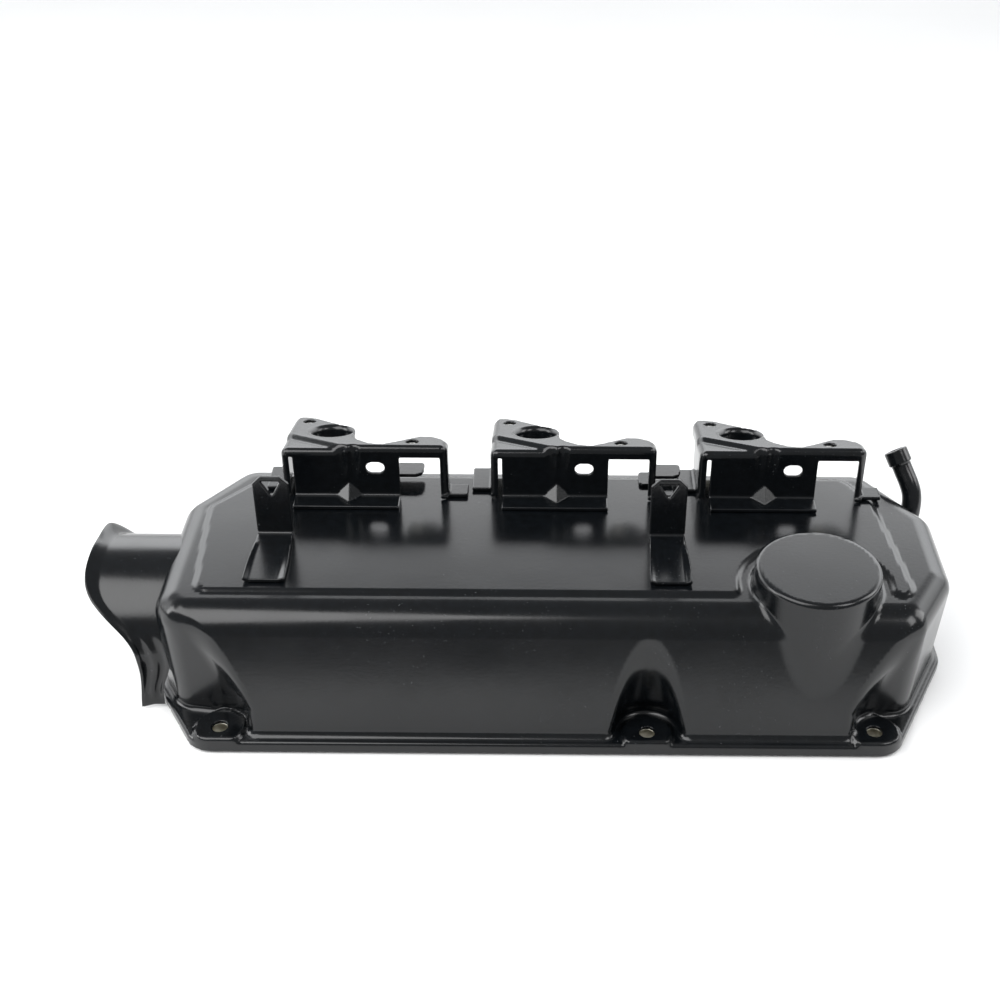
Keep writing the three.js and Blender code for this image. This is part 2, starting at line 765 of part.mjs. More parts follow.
function breatherCollar() {
  const start = 3 * fitGap;
  const ring = tubeRootTool(collarRadius, start, start + collarThickness);
  return cut(ring, tubeRootTool(tubeRadius + fitGap, -1, 10));
}

// ---------------------------------------------------------------- assembly
const cover = new THREE.Group();

function place(name, geometry, finish, parent = cover) {
  const mesh = new THREE.Mesh(geometry, new THREE.MeshStandardMaterial(finish));
  mesh.name = name;
  parent.add(mesh);
  return mesh;
}

const panelTop = roofHeight + panelRise + fitGap;
const firstBracketX = middleBracketX - bracketPitch;

place("cover_shell", geometryOf(coverShell()), blackPaint);
place("cam_end_cowl", hoodGeometry(), blackPaint);
place("flange_gasket", geometryOf(gasket()), nitrileRubber);
place("breather_baffle", geometryOf(baffle()), bareSteel);
for (const { name, x, y } of bolts) {
  place(`bolt_bush_${name}`, bushGeometry(), zincPlate).position.set(x, y, 0);
}

for (let i = 0; i < 3; i++) {
  const station = new THREE.Group();
  station.position.set(firstBracketX + i * bracketPitch, bracketSetback - halfWidth, panelTop);
  cover.add(station);
  place(`coil_bracket_${i + 1}`, geometryOf(coilBracket()), blackPaintFolded, station);
  place(`coil_nut_${i + 1}_rear`, weldNut(rearScrew), zincPlate, station);
  place(`coil_nut_${i + 1}_front`, weldNut(frontScrew), zincPlate, station);
}

["left", "right"].forEach((side, i) => {
  const tab = place(`loom_tab_${side}`, geometryOf(loomTab()), blackPaintFolded);
  tab.position.set(tabCentres[i], tabSetback - halfWidth, panelTop);
  const clip = place(`rear_clip_${side}`, geometryOf(rearClip()), blackPaintFolded);
  clip.position.set(clipCentres[i], clipSetback - halfWidth, panelTop);
});

place("breather_tube", geometryOf(breatherTube()), blackPaint);
place("breather_collar", geometryOf(breatherCollar()), blackPaint);

// Stand the assembly on its sealing face with the origin under its middle.
const bounds = new THREE.Box3().setFromObject(cover, true);
const middle = bounds.getCenter(new THREE.Vector3());
cover.position.set(-middle.x, -middle.y, -bounds.min.z);

export default cover;
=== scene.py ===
"""Camshaft cover in black enamel: the looks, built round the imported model."""
import functools
import itertools
import math

import bmesh
import bpy
import numpy as np
from mathutils import Matrix, Vector


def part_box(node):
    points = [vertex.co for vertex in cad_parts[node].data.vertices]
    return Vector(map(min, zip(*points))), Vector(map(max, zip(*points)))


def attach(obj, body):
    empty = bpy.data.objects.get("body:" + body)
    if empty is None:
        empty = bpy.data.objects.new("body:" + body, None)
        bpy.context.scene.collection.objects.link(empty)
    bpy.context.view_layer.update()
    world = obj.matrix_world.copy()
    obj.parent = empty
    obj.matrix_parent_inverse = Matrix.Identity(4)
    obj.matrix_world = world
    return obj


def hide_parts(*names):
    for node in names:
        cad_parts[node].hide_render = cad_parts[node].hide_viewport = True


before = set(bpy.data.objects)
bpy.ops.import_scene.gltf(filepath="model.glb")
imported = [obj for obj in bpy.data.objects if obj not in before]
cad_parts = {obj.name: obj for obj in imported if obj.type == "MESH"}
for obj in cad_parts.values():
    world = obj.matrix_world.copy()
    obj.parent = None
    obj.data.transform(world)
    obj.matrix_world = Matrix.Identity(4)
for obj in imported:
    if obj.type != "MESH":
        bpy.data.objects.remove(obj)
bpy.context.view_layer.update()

MM = 0.001  # every size below is in millimetres until it becomes a mesh

# ---------------------------------------------------------------- sizes taken from the frame


def node_box(name):
    """The lowest and highest corner of a node, in millimetres."""
    low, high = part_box(name)
    return np.array(low) / MM, np.array(high) / MM


SHELL_LOW, SHELL_HIGH = node_box("cover_shell")
MIDDLE_X = (SHELL_LOW[0] + SHELL_HIGH[0]) / 2  # the cover's own middle
HALF_LENGTH = (SHELL_HIGH[0] - SHELL_LOW[0]) / 2
HALF_WIDTH = (SHELL_HIGH[1] - SHELL_LOW[1]) / 2
LIP_BOTTOM = SHELL_LOW[2]
BOSS_TOP = SHELL_HIGH[2]
BOLTS = ["front_left", "front_middle", "front_right", "rear_left", "rear_middle", "rear_right"]
BOLT_PLACES = {name: sum(node_box(f"bolt_bush_{name}")) / 2 - (MIDDLE_X, 0, 0) for name in BOLTS}

# ---------------------------------------------------------------- sizes of the drawn shell
SHEET = 1.5
FLANGE_TOP = 7.0
FLANGE_CORNER_RADIUS = 14
LIP_EDGE = 1.9  # outside radius where the lip turns down
FOOT_FILLET = 3.2  # where the wall rises from the flange
FOOT_INSET = 4.5  # from the flange's edge to the wall's foot
WALL_CORNER_RADIUS = 15.0
LEFT_WALL_INSET, RIGHT_WALL_INSET = 6.5, 4.5  # at the roof
ROOF_SIDE_INSET = 21  # from the flange's front and rear edges
BOSS_STAND = 13  # from the roof to the boss's top
ROOF = BOSS_TOP - BOSS_STAND
ROOF_FILLET = 12.0

BOSS_RADIUS = 30.5
BOSS = np.array([HALF_LENGTH - 74, -HALF_WIDTH + 43.5])
BOSS_EDGE, BOSS_FILLET = 2.4, 3

PANEL_RISE = 1.2
PANEL_STEP = 3.4  # how wide the step up to the panel is
PANEL_FRONT_SETBACK, PANEL_REAR_SETBACK, PANEL_END_SETBACK = 16.5, 12, 26.5
PANEL_CORNER_RADIUS = 7
PANEL_BOSS_GAP = 7  # the panel keeps this far from the boss

BOLT_HOLE = 3.8
BOLT_HOLE_EDGE = 0.4
PAD_RISE, PAD_RADIUS, PAD_STEP = 2.3, 12.5, 2.4

# The room pressed in round each bolt. It narrows towards the roof by these shares of the height.
POCKET_RADIUS = 12.0
POCKET_EDGE = 5
FRONT_POCKET_DEPTH, REAR_POCKET_DEPTH = 13.0, 17.0
LEFT_POCKET_TAPER, RIGHT_POCKET_TAPER = 0.05, 0.1
LEFT_POCKET_EXTRA, RIGHT_POCKET_EXTRA = 2, -2  # wider or narrower than the radius
POCKET_NARROWS_FROM, POCKET_NARROWING = 20, 0.4
POCKET_SLANT, POCKET_RUN = 9, 66  # the back runs this much inwards over this length
MIDDLE_POCKET_RADIUS, MIDDLE_POCKET_TAPER = 17, 0.2

# Cut corners as (along, across): front left, front right, rear right, rear left.
FLANGE_CHAMFERS = [(25, 42), (34, 67), (34, 67), (34, 67)]
ROOF_CHAMFERS = [(10, 12), (20, 34), (29, 43), (26, 36)]


def chamfered(half_length, half_width, chamfers, shift=0):
    """A rectangle with cut corners, anticlockwise from the front left, moved along by shift."""
    front_left, front_right, rear_right, rear_left = chamfers
    corners = [
        (-half_length + front_left[0], -half_width),
        (half_length - front_right[0], -half_width),
        (half_length, -half_width + front_right[1]),
        (half_length, half_width - rear_right[1]),
        (half_length - rear_right[0], half_width),
        (-half_length + rear_left[0], half_width),
        (-half_length, half_width - rear_left[1]),
        (-half_length, -half_width + front_left[1]),
    ]
    return [(x + shift, y) for x, y in corners]


def inset(corners, distance):
    """Moves every side of a convex anticlockwise outline inwards; corners may be arrays."""
    normals = []
    for (x0, y0), (x1, y1) in zip(corners, corners[1:] + corners[:1]):
        length = np.hypot(x1 - x0, y1 - y0)
        normals.append(((y0 - y1) / length, (x1 - x0) / length))
    moved = []
    for (x, y), (ax, ay), (bx, by) in zip(corners, normals[-1:] + normals[:-1], normals):
        share = distance / (1 + ax * bx + ay * by)
        moved.append((x + share * (ax + bx), y + share * (ay + by)))
    return moved


FLANGE_CORNERS = chamfered(HALF_LENGTH, HALF_WIDTH, FLANGE_CHAMFERS)
FOOT_CORNERS = inset(FLANGE_CORNERS, FOOT_INSET)
ROOF_CORNERS = chamfered(
    HALF_LENGTH - (LEFT_WALL_INSET + RIGHT_WALL_INSET) / 2,
    HALF_WIDTH - ROOF_SIDE_INSET,
    ROOF_CHAMFERS,
    (LEFT_WALL_INSET - RIGHT_WALL_INSET) / 2,
)


# ---------------------------------------------------------------- solids as distance fields
def overlap(first, second, radius):
    """Where two solids overlap, with the shared edge rounded."""
    rounded = np.hypot(np.maximum(first + radius, 0), np.maximum(second + radius, 0))
    return np.minimum(np.maximum(first, second), -radius) + rounded


def union(first, second, radius):
    """Two solids run together with a fillet in the corner."""
    return -overlap(-first, -second, radius)


def both(*distances):
    """Only what all the solids share, with sharp edges."""
    return functools.reduce(np.maximum, distances)


def either(*distances):
    """All the solids side by side, without a fillet."""
    return functools.reduce(np.minimum, distances)


def smooth(share):
    """An even rise from 0 to 1, level at both ends."""
    share = np.clip(share, 0, 1)
    return share * share * (3 - 2 * share)


def polygon(x, y, corners, radius):
    """Distance to a convex anticlockwise outline with rounded corners; corners may vary with height."""
    core = inset(corners, radius)
    inside, outside = -np.inf, np.inf
    for (x0, y0), (x1, y1) in zip(core, core[1:] + core[:1]):
        ex, ey = x1 - x0, y1 - y0
        square = ex * ex + ey * ey
        dx, dy = x - x0, y - y0
        along = np.clip((dx * ex + dy * ey) / square, 0, 1)
        outside = np.minimum(outside, (dx - along * ex) ** 2 + (dy - along * ey) ** 2)
        inside = np.maximum(inside, (dx * ey - dy * ex) / np.sqrt(square))
    return np.where(inside > 0, np.sqrt(outside), inside) - radius


def slab(value, low, high):
    """Distance to the room between two planes."""
    return np.maximum(low - value, value - high)


def wall_corners(z):
    """The wall's outline at a height, between its foot and the roof."""
    share = np.clip((z - FLANGE_TOP) / (ROOF - FLANGE_TOP), 0, 1)
    return [
        (foot[0] + share * (roof[0] - foot[0]), foot[1] + share * (roof[1] - foot[1]))
        for foot, roof in zip(FOOT_CORNERS, ROOF_CORNERS)
    ]


def panel_distance(x, y):
    """Distance to the raised roof panel's outline, which runs round the boss."""
    front = -HALF_WIDTH + ROOF_SIDE_INSET + PANEL_FRONT_SETBACK
    rear = HALF_WIDTH - ROOF_SIDE_INSET - PANEL_REAR_SETBACK
    end = HALF_LENGTH - PANEL_END_SETBACK
    corners = [
        (-end, front),
        (end, front),
        (end - 8, rear - 21),
        (end - 20, rear),
        (-end + 20, rear),
        (-end - 6, rear - 30),
    ]
    around_boss = BOSS_RADIUS + PANEL_BOSS_GAP - np.hypot(x - BOSS[0], y - BOSS[1])
    return overlap(polygon(x, y, corners, PANEL_CORNER_RADIUS), around_boss, 5)


def pocket_distance(x, y, z, name):
    """Distance to the room left round a bolt, open to the outside and narrower towards the roof."""
    place = BOLT_PLACES[name]
    side = np.sign(place[1])
    inward = -side * (y - place[1])  # from the bolt towards the middle of the cover
    if name.endswith("middle"):
        radius = MIDDLE_POCKET_RADIUS - MIDDLE_POCKET_TAPER * (z - FLANGE_TOP)
        arc = np.hypot(x - place[0], inward) - radius
        return np.where(inward > 0, arc, np.abs(x - place[0]) - radius)
    deepest = FRONT_POCKET_DEPTH if side < 0 else REAR_POCKET_DEPTH
    taper = LEFT_POCKET_TAPER if place[0] < 0 else RIGHT_POCKET_TAPER
    extra = LEFT_POCKET_EXTRA if place[0] < 0 else RIGHT_POCKET_EXTRA
    depth = deepest - taper * (z - FLANGE_TOP)
    width = POCKET_RADIUS + extra - POCKET_NARROWING * np.maximum(z - POCKET_NARROWS_FROM, 0)
    outward = np.sign(place[0]) * (x - place[0])
    back = inward - depth - POCKET_SLANT * np.maximum(outward, 0) / POCKET_RUN
    return overlap(back, (-outward - width) * 0.93, POCKET_RADIUS)


def body_field(x, y, z):
    """The drawn body without its flange: leaning walls, roof, raised panel, boss and bolt pockets."""
    walls = polygon(x, y, wall_corners(z), WALL_CORNER_RADIUS)
    rise = PANEL_RISE * smooth(0.5 - panel_distance(x, y) / PANEL_STEP)
    body = overlap(walls, z - ROOF - rise, ROOF_FILLET)
    around = np.hypot(x - BOSS[0], y - BOSS[1])
    boss = overlap(around - BOSS_RADIUS, z - BOSS_TOP, BOSS_EDGE)
    body = union(body, boss, BOSS_FILLET)
    for name in BOLTS:
        body = overlap(body, -pocket_distance(x, y, z, name), POCKET_EDGE)
    return body


def flange_field(x, y, z):
    """The flange as a solid plate with its turned-down edge and raised bolt pads."""
    top = FLANGE_TOP + 0 * x
    for place in BOLT_PLACES.values():
        within = PAD_RADIUS + PAD_STEP / 2 - np.hypot(x - place[0], y - place[1])
        top = np.maximum(top, FLANGE_TOP + PAD_RISE * smooth(within / PAD_STEP))
    return overlap(polygon(x, y, FLANGE_CORNERS, FLANGE_CORNER_RADIUS), z - top, LIP_EDGE)


def shell_field(x, y, z):
    """The whole outside of the cover, as if it were solid."""
    return union(body_field(x, y, z), flange_field(x, y, z), FOOT_FILLET)


def holed_shell_field(x, y, z):
    """The outside with its bolt holes."""
    solid = shell_field(x, y, z)
    for place in BOLT_PLACES.values():
        drilled = BOLT_HOLE - np.hypot(x - place[0], y - place[1])
        solid = overlap(solid, drilled, BOLT_HOLE_EDGE)
    return solid


def room_field(x, y, z):
    """The room inside, one sheet thickness in from the outside."""
    return shell_field(x, y, z) + SHEET


# ---------------------------------------------------------------- skins over distance fields
def lines(*spans):
    """Grid lines over spans of (from, to, spacing)."""
    runs = [np.linspace(a, b, max(2, round((b - a) / step) + 1))[:-1] for a, b, step in spans]
    return np.append(np.concatenate(runs), spans[-1][1])


def slope(field, points):
    """How a field rises along x, y and z at each point."""
    step = 0.02
    result = np.empty_like(points)
    for axis in range(3):
        ahead, behind = points.copy(), points.copy()
        ahead[:, axis] += step
        behind[:, axis] -= step
        result[:, axis] = (field(*ahead.T) - field(*behind.T)) / (2 * step)
    return result


def settle(field, points, reach, rounds=4):
    """Moves points onto the surface, no further than reach from where they start."""
    start = points.copy()
    for _ in range(rounds):
        rise = slope(field, points)
        points = points - (field(*points.T) / np.maximum((rise**2).sum(1), 0.2))[:, None] * rise
        points = start + np.clip(points - start, -reach, reach)
    return points


def skin(field, grid, rounds=4):
    """Points and quads of the surface where field is nought, one point to a grid cell."""
    value = field(grid[0][:, None, None], grid[1][None, :, None], grid[2][None, None, :])
    inside = value < 0
    size = np.array(value.shape)
    count = np.zeros(size - 1, np.int8)
    for i, j, k in itertools.product((0, 1), repeat=3):
        count += inside[i : size[0] - 1 + i, j : size[1] - 1 + j, k : size[2] - 1 + k]
    mixed = (count > 0) & (count < 8)
    cells = np.argwhere(mixed)
    number = np.full(mixed.shape, -1)
    number[mixed] = np.arange(len(cells))
    total = np.zeros((len(cells), 3))
    hits = np.zeros(len(cells))
    for axis in range(3):
        others = [d for d in range(3) if d != axis]
        for a, b in itertools.product((0, 1), repeat=2):
            start = cells.copy()
            start[:, others[0]] += a
            start[:, others[1]] += b
            end = start.copy()
            end[:, axis] += 1
            low, high = value[tuple(start.T)], value[tuple(end.T)]
            crosses = (low < 0) != (high < 0)
            share = np.where(crosses, low / np.where(crosses, low - high, 1), 0)
            p0 = np.stack([grid[d][start[:, d]] for d in range(3)], axis=1)
            p1 = np.stack([grid[d][end[:, d]] for d in range(3)], axis=1)
            total += np.where(crosses[:, None], p0 + share[:, None] * (p1 - p0), 0)
            hits += crosses
    widths = np.stack([np.diff(grid[d])[cells[:, d]] for d in range(3)], axis=1)
    points = settle(field, total / hits[:, None], widths, rounds)
    quads = []
    for axis in range(3):
        b, c = (axis + 1) % 3, (axis + 2) % 3
        ahead = np.moveaxis(inside, axis, 0)
        edges = np.argwhere(np.moveaxis(ahead[:-1] != ahead[1:], 0, axis))
        off_low = (edges[:, b] > 0) & (edges[:, c] > 0)
        off_high = (edges[:, b] < size[b] - 1) & (edges[:, c] < size[c] - 1)
        edges = edges[off_low & off_high]
        ring = []
        for db, dc in ((-1, -1), (0, -1), (0, 0), (-1, 0)):
            cell = edges.copy()
            cell[:, b] += db
            cell[:, c] += dc
            ring.append(number[tuple(cell.T)])
        quad = np.stack(ring, axis=1)
        solid_below = inside[tuple(edges.T)]
        quads.append(np.where(solid_below[:, None], quad, quad[:, ::-1]))
    return points, np.concatenate(quads)


def mesh_object(name, points, faces, offset=(0, 0, 0)):
    """A mesh object from points in millimetres."""
    mesh = bpy.data.meshes.new(name)
    mesh.from_pydata(((np.asarray(points) + offset) * MM).tolist(), [], [list(face) for face in faces])
    mesh.update()
    mesh.shade_smooth()
    piece = bpy.data.objects.new(name, mesh)
    bpy.context.scene.collection.objects.link(piece)
    return piece


def applied(piece):
    """The piece with its modifiers made part of its mesh."""
    bpy.context.view_layer.update()
    graph = bpy.context.evaluated_depsgraph_get()
    mesh = bpy.data.meshes.new_from_object(piece.evaluated_get(graph), depsgraph=graph)
    piece.modifiers.clear()
    piece.data = mesh
    return piece


def face_outwards(piece):
    """Turns every face of a closed mesh to the outside."""
    bm = bmesh.new()
    bm.from_mesh(piece.data)
    bmesh.ops.recalc_face_normals(bm, faces=bm.faces)
    bm.to_mesh(piece.data)
    bm.free()


LEAST_AGREEMENT = 0.55  # cosine between a corner's normal and its face's
ON_SURFACE = 0.05


def shade_from(piece, fields, offset):
    """Sets each corner's normal from the field whose surface it lies on, so that fillets shade truly.

    A corner that lies on no field, or whose normal leans far off its face, keeps the face's own."""
    mesh = piece.data
    points = np.empty(len(mesh.vertices) * 3)
    mesh.vertices.foreach_get("co", points)
    points = points.reshape(-1, 3) / MM - offset
    nearness = np.stack([np.abs(field(*points.T)) for field, _ in fields])
    normals = np.stack([sign * slope(field, points) for field, sign in fields])
    normals /= np.linalg.norm(normals, axis=2, keepdims=True) + 1e-9
    best = nearness.argmin(0)
    smooth_normal = normals[best, np.arange(len(points))]
    corners = np.empty(len(mesh.loops), np.int32)
    mesh.loops.foreach_get("vertex_index", corners)
    face_normals = np.empty(len(mesh.polygons) * 3)
    mesh.polygons.foreach_get("normal", face_normals)
    sizes = np.empty(len(mesh.polygons), np.int32)
    mesh.polygons.foreach_get("loop_total", sizes)
    flat = np.repeat(face_normals.reshape(-1, 3), sizes, axis=0)
    wanted = smooth_normal[corners]
    leaning = (wanted * flat).sum(1) < LEAST_AGREEMENT
    astray = leaning | (nearness.min(0)[corners] > ON_SURFACE)
    wanted[astray] = flat[astray]
    mesh.normals_split_custom_set(wanted.tolist())


def cut_away(piece, tool):
    """The piece less the tool, both closed; the tool goes."""
    cutting = piece.modifiers.new("cut", "BOOLEAN")
    cutting.operation = "DIFFERENCE"
    cutting.solver = "MANIFOLD"
    cutting.object = tool
    applied(piece)
    bpy.data.objects.remove(tool)
    return piece


# ---------------------------------------------------------------- drawn shell
SHELL_PLACE = (MIDDLE_X, 0, 0)


def cover_shell():
    """The drawn sheet: the outer solid less the room inside it."""

    def outside(x, y, z):
        return np.maximum(holed_shell_field(x, y, z), LIP_BOTTOM - z)

    def inside(x, y, z):
        return np.maximum(room_field(x, y, z), LIP_BOTTOM - 4 - z)

    x_end, y_end = HALF_LENGTH + 2, HALF_WIDTH + 2
    fine, plain = 0.9, 1.4
    grid = (
        lines((-x_end, -x_end + 8, fine), (-x_end + 8, x_end - 8, plain), (x_end - 8, x_end, fine)),
        lines(
            (-y_end, -y_end + 26, fine),
            (-y_end + 26, y_end - 8, plain * 1.2),
            (y_end - 8, y_end, fine),
        ),
        lines((-1, 4, 1.6), (4, 13, 0.75), (13, 56, 2.4), (56, 76, 1.1), (76, BOSS_TOP + 1.8, 0.7)),
    )
    coarse = (
        lines((-x_end, x_end, 3.0)),
        lines((-y_end, y_end, 3.0)),
        lines((-7, 13, 1.8), (13, 56, 4), (56, BOSS_TOP + 2, 2.2)),
    )
    shell = mesh_object("cover_shell_enamel", *skin(outside, grid), SHELL_PLACE)
    room = mesh_object("room", *skin(inside, coarse), SHELL_PLACE)
    cut_away(shell, room)
    shade_from(shell, [(holed_shell_field, 1), (room_field, -1)], SHELL_PLACE)
    return shell


# ---------------------------------------------------------------- cowl over the left end
HOOD_SHEET = 1.5
HOOD_AXIS_Y = -HALF_WIDTH + 75
HOOD_AXIS_Z = 26.0
HOOD_CROWN_DROP = 2  # the crown lies this far under the roof
HOOD_RADIUS = ROOF - HOOD_CROWN_DROP - HOOD_AXIS_Z
HOOD_FOOT = 2.0
HOOD_FLARE, HOOD_FLARE_LENGTH = 2.0, 7.0
HOOD_TIP_ALONG, HOOD_TIP_SPREAD, HOOD_TIP_RISE = 0.27, 0.22, 3.5
HOOD_SEAM_OVERLAP = 0.7  # the edge runs into the wall it is welded to
HOOD_FLANGE_GAP = 0.8
HOOD_SEAM_FREE, HOOD_SEAM_RUN = 9, 21  # the edge leaves the wall below this height, over this run
FLUTE_DEPTH, FLUTE_COUNT = 1.2, 2

# How far the rim stands out past the flange's end, from the front foot (-1) over the crown to the
# rear foot (1).
HOOD_RIM = [
    (-1, 7), (-0.81, 4.8), (-0.7, 4.8), (-0.58, 7.5), (-0.49, 15.5), (-0.4, 24), (-0.31, 30),
    (-0.2, 32), (0, 31.5), (0.29, 30), (0.5, 20), (0.7, 8), (1, 8),
]


def left_side(corners, y):
    """The x of an outline's left side at y."""
    found = np.inf
    for (x0, y0), (x1, y1) in zip(corners, corners[1:] + corners[:1]):
        if (y0 - y) * (y1 - y) <= 0 and y0 != y1:
            found = min(found, x0 + (x1 - x0) * (y - y0) / (y1 - y0))
    return found


def rim_reach(along):
    """The rim's reach past the flange's end, with the table's corners eased."""
    places, reaches = zip(*HOOD_RIM)
    return np.mean([np.interp(along + step, places, reaches) for step in np.linspace(-0.06, 0.06, 13)])


def hood_station(along, depth=0):
    """A point of the arch at a share of its sweep and a depth under its outer skin: y, z, outward
    direction, seam x and rim x."""
    half = HOOD_AXIS_Z - HOOD_FOOT + math.pi / 2 * HOOD_RADIUS
    travel = abs(along) * half
    side = -1 if along < 0 else 1
    angle = min(travel / HOOD_RADIUS, math.pi / 2)
    drop = max(0, travel - math.pi / 2 * HOOD_RADIUS)
    out = np.array([side * math.sin(angle), math.cos(angle)])
    y = HOOD_AXIS_Y + (HOOD_RADIUS - depth) * out[0]
    z = HOOD_AXIS_Z + (HOOD_RADIUS - depth) * out[1] - drop
    above = max(0, z - ROOF + ROOF_FILLET)
    set_in = ROOF_FILLET - math.sqrt(ROOF_FILLET**2 - above**2)
    free = left_side(FLANGE_CORNERS, y) - HOOD_FLANGE_GAP
    held = left_side(wall_corners(z), y) + set_in + HOOD_SEAM_OVERLAP
    share = float(smooth((z - HOOD_SEAM_FREE) / HOOD_SEAM_RUN))
    seam = free + share * (held - free)
    return y, z, out, seam, -HALF_LENGTH - rim_reach(along)


def hood_rise(along, from_rim):
    """How far the sheet is turned outwards at a distance from the rim."""
    tip = 1 - smooth(abs(along - HOOD_TIP_ALONG) / HOOD_TIP_SPREAD)
    return (HOOD_FLARE + HOOD_TIP_RISE * tip) * (1 - smooth(from_rim / HOOD_FLARE_LENGTH))


def flute(along, share):
    """Depth of the flutes pressed into the cowl's front leg."""
    leg = smooth((-0.5 - along) / 0.14) * smooth((along + 1.0) / 0.1)
    ribs = 0.5 - 0.5 * np.cos(2 * math.pi * share * FLUTE_COUNT)
    return FLUTE_DEPTH * leg * ribs * smooth((0.95 - share) / 0.12)


def hood_skin(depth, stations, across):
    """Rows of points over the cowl's outer or inner skin."""
    rows = []
    share = np.linspace(0, 1, across + 1)
    for along in np.linspace(-1, 1, stations + 1):
        y, z, out, seam, rim = hood_station(along, depth)
        x = seam + share * (rim - seam)
        rise = hood_rise(along, x - rim) - flute(along, share)
        rows.append(np.stack([x, y + out[0] * rise, z + out[1] * rise], axis=1))
    return np.array(rows)


def cowl():
    """The half-round cowl: a pressed sheet with a flared rim and shallow flutes up its front leg."""
    stations, across = 220, 64
    outer, inner = hood_skin(0, stations, across), hood_skin(HOOD_SHEET, stations, across)
    count = (stations + 1) * (across + 1)
    index = np.arange(count).reshape(stations + 1, across + 1)
    sides = [index[:-1, :-1], index[1:, :-1], index[1:, 1:], index[:-1, 1:]]
    top = np.stack(sides, axis=-1).reshape(-1, 4)
    bottom = top[:, ::-1] + count
    loop = np.concatenate([index[0, :-1], index[:-1, -1], index[-1, :0:-1], index[:0:-1, 0]])
    after = np.roll(loop, -1)
    edge = np.stack([loop, after, after + count, loop + count], axis=1)
    points = np.concatenate([outer.reshape(-1, 3), inner.reshape(-1, 3)])
    piece = mesh_object("cowl_enamel", points, np.concatenate([top, bottom, edge]), SHELL_PLACE)
    face_outwards(piece)
    bevel = piece.modifiers.new("edge", "BEVEL")
    bevel.width = 0.4 * MM
    bevel.segments = 2
    bevel.limit_method = "ANGLE"
    bevel.angle_limit = math.radians(50)
    applied(piece)
    piece.data.shade_smooth()
    return piece


# ---------------------------------------------------------------- folded sheet metal
def folded_sheet(middle, keep, sheet, box, spacing, edge=0.55):
    """A sheet whose middle surface is where the first field is nought, trimmed to the second.

    Returns its points, its quads and the field of the finished sheet."""

    def field(x, y, z):
        return overlap(np.abs(middle(x, y, z)) - sheet / 2, keep(x, y, z), edge)

    low, high = np.array(box[0]) - 1.5, np.array(box[1]) + 1.5
    grid = [lines((low[d], high[d], spacing)) for d in range(3)]
    points, quads = skin(field, grid)
    return points, quads, field


# The bracket's own frame: x from the rear coil screw, y to the rear from the front face, z from the roof.
BRACKET_SHEET = 2.0
BRACKET_HEIGHT = 32.0
TILT = math.radians(15)
REAR_SCREW = (0.0, 45.0)
FRONT_SCREW = (58.5, 8.6)
SCREW_HOLE = 3.3
BOOT_HOLE = (14.5, 28.0)
BOOT_RADIUS = 10.0
PLATE_LEFT, PLATE_RIGHT = -9.0, 77.0
FACE_LEFT, FACE_RIGHT = -3.0, 52.0
FOOT_REACH, FOOT_FRONT = 10, -11  # the feet reach this far past the legs and in front of the face
FOLD_RADIUS = 3
DART_PLACES, DART_RADIUS = (22.3, 28.5), 3.1
GUSSET_PLACE, GUSSET_HEIGHT = 25.5, 12
SLOT_PLACE, SLOT_RADIUS, SLOT_HALF, SLOT_DROP = 39.5, 3.2, 1.6, 13.5
LEFT_FOOT, RIGHT_FOOT = (7, 27), (1, 11)  # the side feet's front and rear edges
LEFT_LEG, RIGHT_LEG = (1, 30), (-1, 11)
CLEAR = -9.0  # a distance well inside, where a cut doesn't count
PLATE_REAR = 53
PLATE_OUTLINE = [
    (PLATE_LEFT, -3),
    (PLATE_RIGHT, -3),
    (PLATE_RIGHT, 8),
    (PLATE_RIGHT - 4, 14),
    (PLATE_RIGHT - 9, 18),
    (FRONT_SCREW[0] + 3.5, 18.5),
    (FRONT_SCREW[0] - 8.5, 9),
    (43, 4),
    (36, 6),
    (30, 12),
    (BOOT_HOLE[0] + 12.5, 17),
    (BOOT_HOLE[0] + 11.5, 28),
    (BOOT_HOLE[0] + 6, 38),
    (BOOT_HOLE[0] - 2, 43),
    (3, 51),
    (-2, PLATE_REAR),
    (PLATE_LEFT + 3, PLATE_REAR),
    (PLATE_LEFT, 49),
]


def outline_distance(x, y, corners):
    """Signed distance to any simple outline."""
    nearest = np.inf
    inside = np.zeros(np.broadcast(x, y).shape, bool)
    for (x0, y0), (x1, y1) in zip(corners, corners[1:] + corners[:1]):
        ex, ey = x1 - x0, y1 - y0
        along = np.clip(((x - x0) * ex + (y - y0) * ey) / (ex * ex + ey * ey), 0, 1)
        nearest = np.minimum(nearest, np.hypot(x - x0 - along * ex, y - y0 - along * ey))
        crosses = (y0 > y) != (y1 > y)
        with np.errstate(divide="ignore", invalid="ignore"):
            inside ^= crosses & (x < x0 + (y - y0) * ex / (ey if ey else 1e-9))
    return np.where(inside, -nearest, nearest)


def plate_frame(y, z):
    """Distance along the falling plate from its front fold, and height above its top face."""
    rise = z - BRACKET_HEIGHT
    return y * math.cos(TILT) - rise * math.sin(TILT), rise * math.cos(TILT) + y * math.sin(TILT)


